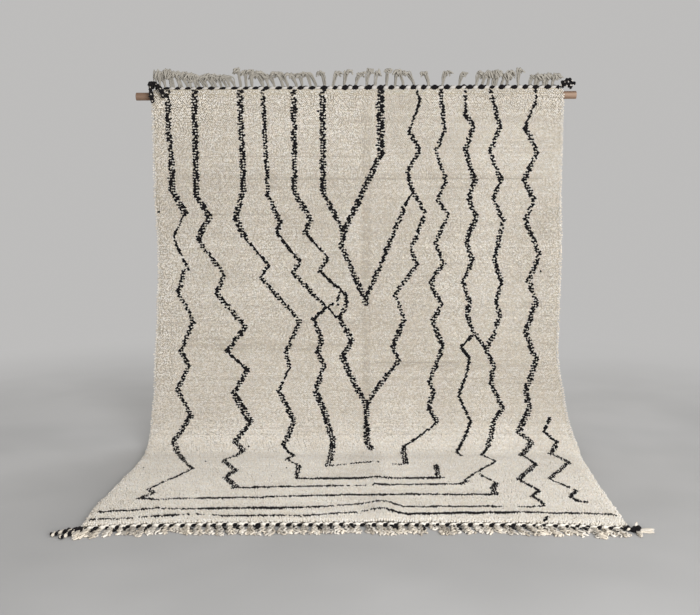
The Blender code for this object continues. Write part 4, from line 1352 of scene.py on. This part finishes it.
@dataclass
class TopCord(EndCord):
    """The cord along the top end, and the fringe that stands from it in groups of strands."""

    end: str = "top"
    slot: Slot = Slot.TOP_CORD
    shift: float = 0.006
    pitch: float = 0.0543
    plies: Plies = ((Yarn.BLACK, 0.3, 1.18), (Yarn.CREAM, 0.5, 0.88))
    swell: tuple[float, ...] = (0.80, 0.85, 0.95, 1.45, 1.40, 1.30, 1.15)
    cord_wool: WoolFinish = WoolFinish("top_cord_wool", (0.44, 0.415, 0.385), (0.54, 0.515, 0.48), slant=0.0)
    # The fringe's thread roots are painted darker near the cord: painted shade
    fringe_wool: WoolFinish = WoolFinish("top_fringe_wool", root_painted_shade=0.8, fibre=0.25, slant=2.0)
    height_on_edge: float = 0.0044
    stretches: int = 144
    sway: float = 0.007
    head: float = 0.0115
    head_turn: float = 0.010
    threads: int = 10
    thread_radius: float = 0.0023
    # The circle of threads at each station of a strand, how far they stray from it, and how far a tip strays
    circle: tuple[float, ...] = (0.0026, 0.0040, 0.0062, 0.0105, 0.0135)
    loose: tuple[float, ...] = (0.0, 0.0012, 0.0026, 0.0042, 0.0070)
    stray: Point = (0.014, 0.004, 0.009)
    # from, to, strands, rise, lean, droop
    groups: tuple[tuple[float, float, int, float, float, float], ...] = (
        (-0.945, -0.880, 4, 0.086, -0.018, 0.040),
        (-0.856, -0.780, 5, 0.076, -0.038, 0.030),
        (-0.760, -0.680, 5, 0.062, -0.042, 0.026),
        (-0.650, -0.590, 4, 0.060, -0.042, 0.020),
        (-0.560, -0.500, 3, 0.083, -0.008, 0.022),
        (-0.450, -0.330, 5, 0.074, -0.040, 0.020),
        (-0.290, -0.150, 5, 0.072, -0.028, 0.016),
        (-0.110, 0.000, 3, 0.074, 0.014, 0.014),
        (0.050, 0.190, 4, 0.078, 0.008, 0.018),
        (0.230, 0.350, 3, 0.074, -0.030, 0.016),
        (0.420, 0.500, 2, 0.066, 0.020, 0.016),
        (0.590, 0.730, 7, 0.074, 0.016, 0.032),
        (0.790, 0.790, 1, 0.074, 0.006, 0.012),
        (0.840, 0.950, 6, 0.058, 0.016, 0.026),
    )

    def axis(self) -> Array:
        """A straight line just above the rug's top edge, square to the flap.

        Returns:
            Its two ends.
        """
        up = np.array([0.0, math.sin(self.drape.lean), math.cos(self.drape.lean)])
        base = self.drape.place(np.zeros(1), np.zeros(1), self.height_on_edge)[0]
        base[0] = self.drape.origin[0]
        line = base + up * (self.gap + self.radius * math.cos(math.pi / 6))
        ends = np.array([-self.half_length, self.half_length]) + self.shift
        return line + np.stack([ends, np.zeros(2), np.zeros(2)], 1)

    def strands(self) -> Array:
        """Each strand's stations: it rises, leans and sways by shares of its own amounts, then drops its
        head.

        Returns:
            (strands, 5, 3).
        """
        rng = np.random.default_rng(6)
        line = self.axis()
        x = np.linspace(line[0, 0], line[1, 0], self.stretches + 1)
        middle = (x[1:] + x[:-1]) / 2
        free = np.ones(self.stretches, bool)
        stations = []
        for first, last, strands, rise, lean, droop in self.groups:
            for wanted in np.linspace(first, last, strands) + self.drape.origin[0]:
                at = int(np.argmin(np.abs(middle - wanted) + 10 * ~free))
                free[max(at - 1, 0) : at + 1] = False
                tall = rise * (1 + 0.06 * rng.uniform(-1, 1))
                tilt = lean * (1 + 0.07 * rng.uniform(-1, 1))
                sway = self.sway * (1 if len(stations) % 2 else -1)
                foot = np.array([middle[at], line[0, 1], line[0, 2] + self.radius * 0.5])
                offsets = [
                    (0.0, 0.0, 0.0),
                    (0.08 * tilt, 0.20 * sway, 0.22 * tall),
                    (0.50 * tilt, 0.70 * sway, 0.70 * tall),
                    (tilt, sway, tall - self.head / 2),
                    (tilt + math.copysign(self.head_turn, tilt), sway, tall - droop),
                ]
                stations.append(foot + np.array(offsets))
        return np.array(stations)

    def fringe(self) -> Patch:
        """Threads round each strand: the strand's curve plus a small circle that widens at the head, plus
        noise and a sine's crimp.

        Returns:
            The threads.
        """
        rng = np.random.default_rng(SEED + 6)
        stations = self.strands()
        strands = len(stations)
        angle = np.tile(np.arange(self.threads) * 2 * math.pi / self.threads, strands)
        angle = angle + np.repeat(rng.uniform(0, 6, strands), self.threads)
        circle = np.stack([np.cos(angle), np.sin(angle), np.zeros(angle.shape)], 1)[:, None]
        stations = np.repeat(stations, self.threads, axis=0) + circle * np.array(self.circle)[:, None]
        loose = rng.normal(0, 1, stations.shape) * np.array(self.loose)[:, None]
        own = rng.uniform(-1, 1, (strands, 1, 3)) * self.stray * smoothstep(np.linspace(0, 1, 5))[:, None]
        stations = stations + loose.clip(-0.011, 0.011) + np.repeat(own, self.threads, axis=0)
        t = np.linspace(0, 1, 12)
        paths = through(stations, len(t))
        each = (len(paths), 1)
        crimp = np.sin(t * rng.uniform(12, 20, each) + rng.uniform(0, 6, each))
        crimp = crimp * (0.0008 + 0.0016 * grown(t, 0.5, 0.3))
        paths[..., 0] += crimp
        paths[..., 2] += 0.6 * crimp[:, ::-1]
        swell = 1 + 0.80 * grown(t, 0.5, 0.3) - 0.60 * grown(t, 0.9, 0.1)
        radii = self.thread_radius * swell * rng.uniform(0.75, 1.25, each)
        columns = yarn_column(Yarn.GREY, rng.uniform(0, 1, len(paths)))
        return sweep(paths, radii, columns, (0.0, 1.0, 0.02), sides=4)


@dataclass
class FrontCord(EndCord):
    """The cord along the front end, and the tufts that lie splayed on the floor before it."""

    end: str = "front"
    slot: Slot = Slot.FRONT_CORD
    shift: float = -0.007
    pitch: float = 0.0391
    plies: Plies = ((Yarn.BLACK, 0.3, 0.82), (Yarn.CREAM, 0.85, 1.12))
    swell: tuple[float, ...] = (1.0, 1.0)
    cord_wool: WoolFinish = WoolFinish("front_cord_wool", pale=(0.70, 0.66, 0.59))
    # Its very dark deep cream is partly the threads' own differing tones and partly painted shade for the
    # dark gaps between the curls; its darker roots are painted shade near the cord
    fringe_wool: WoolFinish = WoolFinish(
        "front_fringe_wool", (0.25, 0.22, 0.185), (0.82, 0.765, 0.68), root_painted_shade=0.8, fibre=0.25, slant=2.0
    )
    stretches: int = 200
    tuft_every: int = 4
    ends: int = 7
    end_radius: float = 0.0030
    half_width: float = 0.0165
    black_ends: float = 0.12
    black_reach: float = 0.45
    short_tufts: float = 0.16
    shorter: float = 0.045
    bunching: float = 0.016
    uneven_ends: float = 0.010
    uneven_tufts: float = 0.018
    uneven_drift: float = 0.007
    uneven_width: float = 0.005
    # across, length, drift
    lengths: tuple[Point, ...] = (
        (-1.00, 0.094, -0.006),
        (-0.70, 0.098, 0.004),
        (-0.30, 0.100, 0.010),
        (0.20, 0.088, 0.012),
        (0.60, 0.090, 0.018),
        (1.00, 0.094, 0.022),
    )
    # share of the way out, half width, share of the tuft's own, shake, the upper layer's height in radii
    course: tuple[tuple[float, float, float, float, float], ...] = (
        (0.16, 0.0080, 0.00, 0.0006, 1.7),
        (0.36, 0.0095, 0.00, 0.0008, 1.8),
        (0.55, 0.0120, 0.00, 0.0012, 1.8),
        (0.78, 0.0000, 0.88, 0.0026, 1.2),
        (1.00, 0.0000, 1.00, 0.0034, 0.0),
    )

    def line(self, x: Array) -> Array:
        """Points of the axis at these places across the rug: a gap and a radius before the bowed edge."""
        edge = self.drape.place(np.full(x.shape, self.drape.length), x, 0.0)
        return edge + np.array([0.0, -self.gap - self.radius, self.radius])

    def axis(self) -> Array:
        """Points along the cord, beside the bowed edge."""
        return self.line(np.linspace(-self.half_length, self.half_length, 200) + self.shift)

    def fringe(self) -> Patch:
        """Ends that run close together and then fan out on the floor, each with a sine's curl that grows.

        Returns:
            The ends.
        """
        rng = np.random.default_rng(SEED + 9)
        step = 2 * self.half_length / self.stretches
        feet = -self.half_length + self.shift + (np.arange(1, self.stretches, self.tuft_every) + 0.5) * step
        tufts, r = len(feet), self.end_radius
        foot, order = np.repeat(feet, self.ends), np.tile(np.linspace(-1, 1, self.ends), tufts)
        layer = np.tile(np.arange(self.ends) % 2, tufts)
        length = eased(foot, self.lengths, 1) + rng.uniform(-1, 1, foot.shape) * self.uneven_ends
        length = length - 0.010 * order**2
        short = rng.uniform(0, 1, tufts) < self.short_tufts
        tuft = rng.uniform(-1, 0.5, tufts) * self.uneven_tufts - self.shorter * short
        length = length + np.repeat(tuft, self.ends)
        own_drift = np.repeat(rng.uniform(-1, 1, tufts), self.ends)
        drift = eased(foot, self.lengths, 2) + own_drift * self.uneven_drift
        drift = drift + self.bunching * soft_noise(foot, foot * 0, 0.06, 41)
        black = rng.uniform(0, 1, foot.shape) < self.black_ends
        length = np.where(black, self.black_reach * length, length)
        jitter = rng.normal(0, 1, (len(foot), 6)).clip(-2, 2)[:, : len(self.course)]
        wide = self.half_width + np.repeat(rng.uniform(-1, 1, tufts), self.ends) * self.uneven_width
        share, spread, own, shake, lift = np.array(self.course).T
        x = drift[:, None] * share + order[:, None] * (spread + wide[:, None] * own) + shake * jitter
        out = np.stack([x, -length[:, None] * share, r + layer[:, None] * lift * r], -1)
        start = np.stack([order * 0.003, np.full(foot.shape, 0.001), np.full(foot.shape, 0.006)], 1)
        seat = self.line(foot) * [1.0, 1.0, 0.0]
        t = np.linspace(0, 1, 18)
        paths = through(np.concatenate([start[:, None], out], 1) + seat[:, None], len(t))
        each = (len(foot), 1)
        wave = rng.uniform(12, 26, each)
        curl = (0.0012 + 0.0048 * grown(t, 0.15, 0.4)) * rng.uniform(0.6, 1.3, each)
        paths[..., 0] += curl * np.sin(t * wave + rng.uniform(0, 6, each))
        paths[..., 1] += 0.7 * curl * np.cos(t * wave * 0.9)
        radii = r * (1 + 0.30 * grown(t, 0.6, 0.25) - 0.35 * grown(t, 0.92, 0.08))
        radii = radii * rng.uniform(0.70, 1.15, each)
        paths[..., 2] = np.maximum(paths[..., 2], radii)
        columns = yarn_column(Yarn.CREAM, rng.uniform(0.2, 0.98, foot.shape))
        columns = np.where(black, yarn_column(Yarn.BLACK, rng.uniform(0, 1, foot.shape)), columns)
        return sweep(paths, radii, columns, UP, sides=5)


# Tassels


@dataclass
class Tassel:
    """A corner tassel: a stub of rope to a knot, ropes that leave the knot, and bundles of loose threads. It
    lies on the floor if its up is +Z."""

    origin: Array
    name: str
    up: Point
    stub: Point
    knot: Point
    # What each rope is pulled towards, and its tip
    ropes: tuple[tuple[Point, Point], ...]
    # The same for each bundle of threads, and its radius
    bundles: tuple[tuple[Point, Point, float], ...] = ()
    radius: float = 0.0100
    knot_radius: float = 0.0150
    knot_tube: float = 0.0058
    plies: Plies = ((Yarn.BLACK, 0.3, 1.15), (Yarn.CREAM, 0.72, 0.8))
    swell: tuple[float, ...] = (0.95, 1.05)
    pitch: float = 0.034
    flat: float = 1.2
    threads: int = 11
    thread_radius: float = 0.0027

    def knot_patch(self) -> Patch:
        """An overhand knot as a tube along a trefoil, in two halves: x = sin t + 2 sin 2t,
        y = cos t - 2 cos 2t, z = -1.25 sin 3t, scaled to the knot's radius.

        Returns:
            The knot.
        """
        tube, reach = self.knot_tube, self.knot_radius - self.knot_tube
        t = np.linspace(0, 2 * math.pi, 73)
        x, y = np.sin(t) + 2 * np.sin(2 * t), np.cos(t) - 2 * np.cos(2 * t)
        centre = np.array(self.knot) + self.origin
        axes = np.array([[1.0, 0, 0], [0, 0, 1.0], [0, -1.0, 0]])
        if self.up == UP:
            centre[2] = self.origin[2] + 0.42 * reach + tube
            axes = np.eye(3)
        curve = np.stack([x, y, -1.25 * np.sin(3 * t)], 1) / 3.0 * reach @ axes + centre
        halves = np.stack([curve[:37], curve[36:]])
        columns = np.full(2, yarn_column(Yarn.BLACK, 0.5))
        return sweep(halves, np.full((2, 37), tube), columns, axes[2], sides=8, repeat=ROPE_STEPS)

    def laid(self, path: Array, height: float) -> Array:
        """A path in the frame, raised by this height if the tassel is on the floor."""
        return path + self.origin + [0.0, 0.0, height * (self.up == UP)]

    def loose(self, towards: Point, tip: Point, bundle: float, rng: np.random.Generator) -> Patch:
        """Threads along one bend from the knot, in a bundle that grows from a quarter of its radius to all of
        it at the tip, each with a sine's wave.

        Args:
            towards: What the bend is pulled towards.
            tip: Where they end.
            bundle: The bundle's radius.
            rng: Where their differences come from.

        Returns:
            The threads.
        """
        t = np.linspace(0, 1, 14)
        curve = bend(np.array(self.knot), np.array(towards), np.array(tip), len(t))
        path = self.laid(curve, self.thread_radius)
        spread = bundle * (0.25 + 0.75 * t)
        order = np.linspace(-1, 1, self.threads)
        aside = order[:, None] * spread + 0.0022 * t * np.sin(26 * t + rng.uniform(0, 6, (self.threads, 1)))
        raised = np.tile([0.0, 1.6, 0.8], self.threads)[: self.threads, None] * spread * (1 - 0.4 * t)
        paths = path + aside[..., None] * carried(path, self.up)[1] + raised[..., None] * np.array(self.up)
        cut = 1 - rng.uniform(0, 0.15, self.threads) - 0.25 * order**2
        paths = paths[:, :1] + (paths - paths[:, :1]) * cut[:, None, None]
        radii = self.thread_radius * (1 - 0.3 * grown(t, 0.9, 0.1)) * np.ones((self.threads, 1))
        columns = yarn_column(Yarn.CREAM, rng.uniform(0.6, 0.98, self.threads))
        return sweep(paths, radii, columns, self.up, sides=6)

    def rope(self, start: Array, towards: Array, tip: Array) -> Patch:
        """A twined rope along one bend."""
        path = self.laid(bend(start, towards, tip, 40), self.radius)
        return twined(path, self.radius, self.pitch, self.up, self.plies, self.flat, self.swell)

    def build(self, finish: Material) -> None:
        """Builds and dresses the tassel.

        Args:
            finish: The tassels' wool.
        """
        rng = np.random.default_rng(SEED + len(self.name))
        knot, stub = np.array(self.knot), np.array(self.stub)
        patches = [self.rope(stub, (stub + knot) / 2, knot)]
        patches += [self.rope(knot, np.array(towards), np.array(tip)) for towards, tip in self.ropes]
        patches += [self.loose(*bundle, rng) for bundle in self.bundles]
        patches.append(self.knot_patch())
        whole = rested(joined(patches), self.origin[2])
        make_piece(self.name + "_rope", whole, finish, [self.name])


def corner_tassels(origin: Array) -> list[Tassel]:
    """The four tassels, where the CAD has them.

    Args:
        origin: The frame's place of the pole's middle, over the floor.

    Returns:
        The tassels.
    """
    front_left = Tassel(
        origin,
        "tassel_front_left",
        UP,
        (-0.989, -1.5005, 0.0),
        (-1.004, -1.5085, 0.0),
        (((-1.050, -1.508, 0.0), (-1.088, -1.566, 0.0)), ((-1.028, -1.552, 0.0), (-1.050, -1.592, 0.0))),
        (((-0.992, -1.548, 0.0), (-1.001, -1.594, 0.0), 0.0110),),
        radius=0.0085,
    )
    front_right = Tassel(
        origin,
        "tassel_front_right",
        UP,
        (0.975, -1.5005, 0.0),
        (1.020, -1.5085, 0.0),
        (((1.027, -1.500, 0.0), (1.034, -1.488, 0.0)),),
        (
            ((1.046, -1.512, 0.0), (1.080, -1.520, 0.0), 0.0120),
            ((1.014, -1.540, 0.0), (1.022, -1.570, 0.0), 0.0080),
            ((1.020, -1.500, 0.016), (1.018, -1.494, 0.026), 0.0050),
        ),
        knot_radius=0.0190,
        knot_tube=0.0066,
        plies=((Yarn.BLACK, 0.3, 1.2), (Yarn.CREAM, 0.72, 0.6)),
    )
    top_left = Tassel(
        origin,
        "tassel_top_left",
        (1.0, 0.0, 0.0),
        (-0.985, -0.010, 1.703),
        (-0.993, -0.016, 1.727),
        (
            ((-0.992, -0.072, 1.722), (-0.979, -0.060, 1.634)),
            ((-0.932, -0.078, 1.720), (-0.926, -0.060, 1.657)),
        ),
        plies=((Yarn.BLACK, 0.3, 1.15), (Yarn.BLACK, 0.8, 1.05), (Yarn.CREAM, 0.1, 0.25)),
        swell=(0.7, 1.2, 0.85, 1.3, 0.8),
    )
    top_right = Tassel(
        origin,
        "tassel_top_right",
        (0.0, 1.0, 0.0),
        (0.997, -0.010, 1.703),
        (1.005, -0.016, 1.724),
        (((1.030, -0.018, 1.752), (1.056, -0.024, 1.714)), ((1.022, -0.042, 1.712), (1.040, -0.044, 1.700))),
        plies=((Yarn.BLACK, 0.3, 1.15), (Yarn.BLACK, 0.8, 0.95), (Yarn.CREAM, 0.5, 0.50)),
    )
    return [front_left, front_right, top_left, top_right]


# The studio


@dataclass
class Studio:
    """A pale floor, soft light and the camera."""

    origin: Array
    camera_at: Point = (0.0216, -5.1279, 1.2805)
    pitch: float = math.radians(7.2469)
    yaw: float = math.radians(0.5632)
    roll: float = math.radians(0.1767)
    lens: float = 53.24
    floor_half: float = 60.0
    floor_level: float = -0.0006
    paint: tuple[Point, Point] = ((0.43, 0.428, 0.425), (0.47, 0.468, 0.465))
    glow_from: float = 2.0
    glow_full: float = 4.2
    backdrop: Point = (0.80, 0.79, 0.78)
    backdrop_light: float = 0.64
    # name, where it hangs, what it points at, its side, its power in watts
    lamps: tuple[tuple[str, Point, Point, float, float], ...] = (
        ("overhead", (-0.9, -3.4, 4.2), (0.0, -0.2, 0.8), 3.4, 15.0),
        ("front_fill", (2.1, -5.7, 1.6), (0.0, 0.0, 1.2), 2.8, 438.0),
        ("rear_fill", (0.5, 4.5, 3.6), (0.0, 0.5, 0.8), 3.0, 110.0),
    )

    def floor(self) -> None:
        """A flat square of floor just under the rug: cloudy paint that passes into the backdrop's glow."""
        half, level = self.floor_half, self.floor_level
        mesh = bpy.data.meshes.new("floor")
        square = [(-half, -half, level), (half, -half, level), (half, half, level), (-half, half, level)]
        mesh.from_pydata(square, [], [(0, 1, 2, 3)])
        material, desk = new_material("floor_paint")
        shader, out = desk.tree.nodes["Principled BSDF"], desk.tree.nodes["Material Output"]
        where = desk.add("TexCoord").outputs["Object"]
        cloud = desk.add("TexNoise", {"Vector": where, "Scale": 1.5}).outputs["Fac"]
        tone = desk.mix(desk.between(cloud, 0.3, 0.7, 0.0, 1.0), *self.paint)
        desk.fill(shader, {"Base Color": tone, "Roughness": 1.0, "Specular IOR Level": 0.1})
        away = desk.add("VectorMath", {0: where}, operation="LENGTH").outputs["Value"]
        share = desk.between(away, self.glow_from, self.glow_full, 0.0, 1.0)
        glow = desk.add("Emission", {"Color": self.backdrop, "Strength": self.backdrop_light})
        both = desk.add("MixShader", {0: share, 1: shader.outputs[0], 2: glow.outputs[0]})
        desk.fill(out, {"Surface": both.outputs[0]})
        mesh.materials.append(material)
        obj = new_object("floor", mesh)

    def lamp(self, name: str, at: Point, aim: Point, size: float, power: float) -> None:
        """A square soft lamp.

        Args:
            name: Its name.
            at: Where it hangs.
            aim: What it points at.
            size: Its side.
            power: Its power in watts.
        """
        data = bpy.data.lights.new(name, "AREA")
        data.size, data.energy = size, power
        lamp = new_object(name, data)
        lamp.location = at
        x, y, z = np.array(at) - np.array(aim)
        lamp.rotation_euler = (math.atan2(math.hypot(x, y), z), 0.0, math.atan2(x, -y))

    def build(self) -> None:
        """Builds the floor, lamps, world and camera."""
        self.floor()
        for row in self.lamps:
            self.lamp(*row)
        scene = bpy.context.scene
        scene.world = bpy.data.worlds.new("studio")
        scene.world.use_nodes = True
        light = {"Color": self.backdrop, "Strength": self.backdrop_light}
        Desk(scene.world.node_tree).fill(scene.world.node_tree.nodes["Background"], light)
        scene.view_settings.view_transform = "Standard"
        data = bpy.data.cameras.new("camera")
        data.sensor_width, data.lens = 36.0, self.lens
        scene.camera = new_object("camera", data)
        scene.camera.location = np.array(self.camera_at) + self.origin
        scene.camera.rotation_euler = (math.pi / 2 - self.pitch, self.roll, self.yaw)


def corners(box: Sequence[Sequence[float]]) -> list[list[float]]:
    """A box's two corners as plain lists."""
    return [[float(value) for value in corner] for corner in box]


def main() -> None:
    """Builds every sub-assembly in order."""
    logging.basicConfig(level=logging.INFO, format="%(name)s: %(message)s")
    low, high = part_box("pole")
    origin = np.array([(low.x + high.x) / 2, (low.y + high.y) / 2, 0.0])
    shop = Workshop()
    Studio(origin).build()
    drape = Drape(origin)
    Rug(drape).build(shop)
    TopCord(drape).build(shop)
    FrontCord(drape).build(shop)
    rope_wool = WoolFinish("tassel_wool", pale=(0.62, 0.585, 0.53)).material(shop)
    for tassel in corner_tassels(origin):
        tassel.build(rope_wool)
    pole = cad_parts["pole"]
    for slot in pole.material_slots:
        slot.material = WoodFinish().material(shop)
    LOG.info("pole: dressed in wood")


if __name__ == "__main__":
    main()
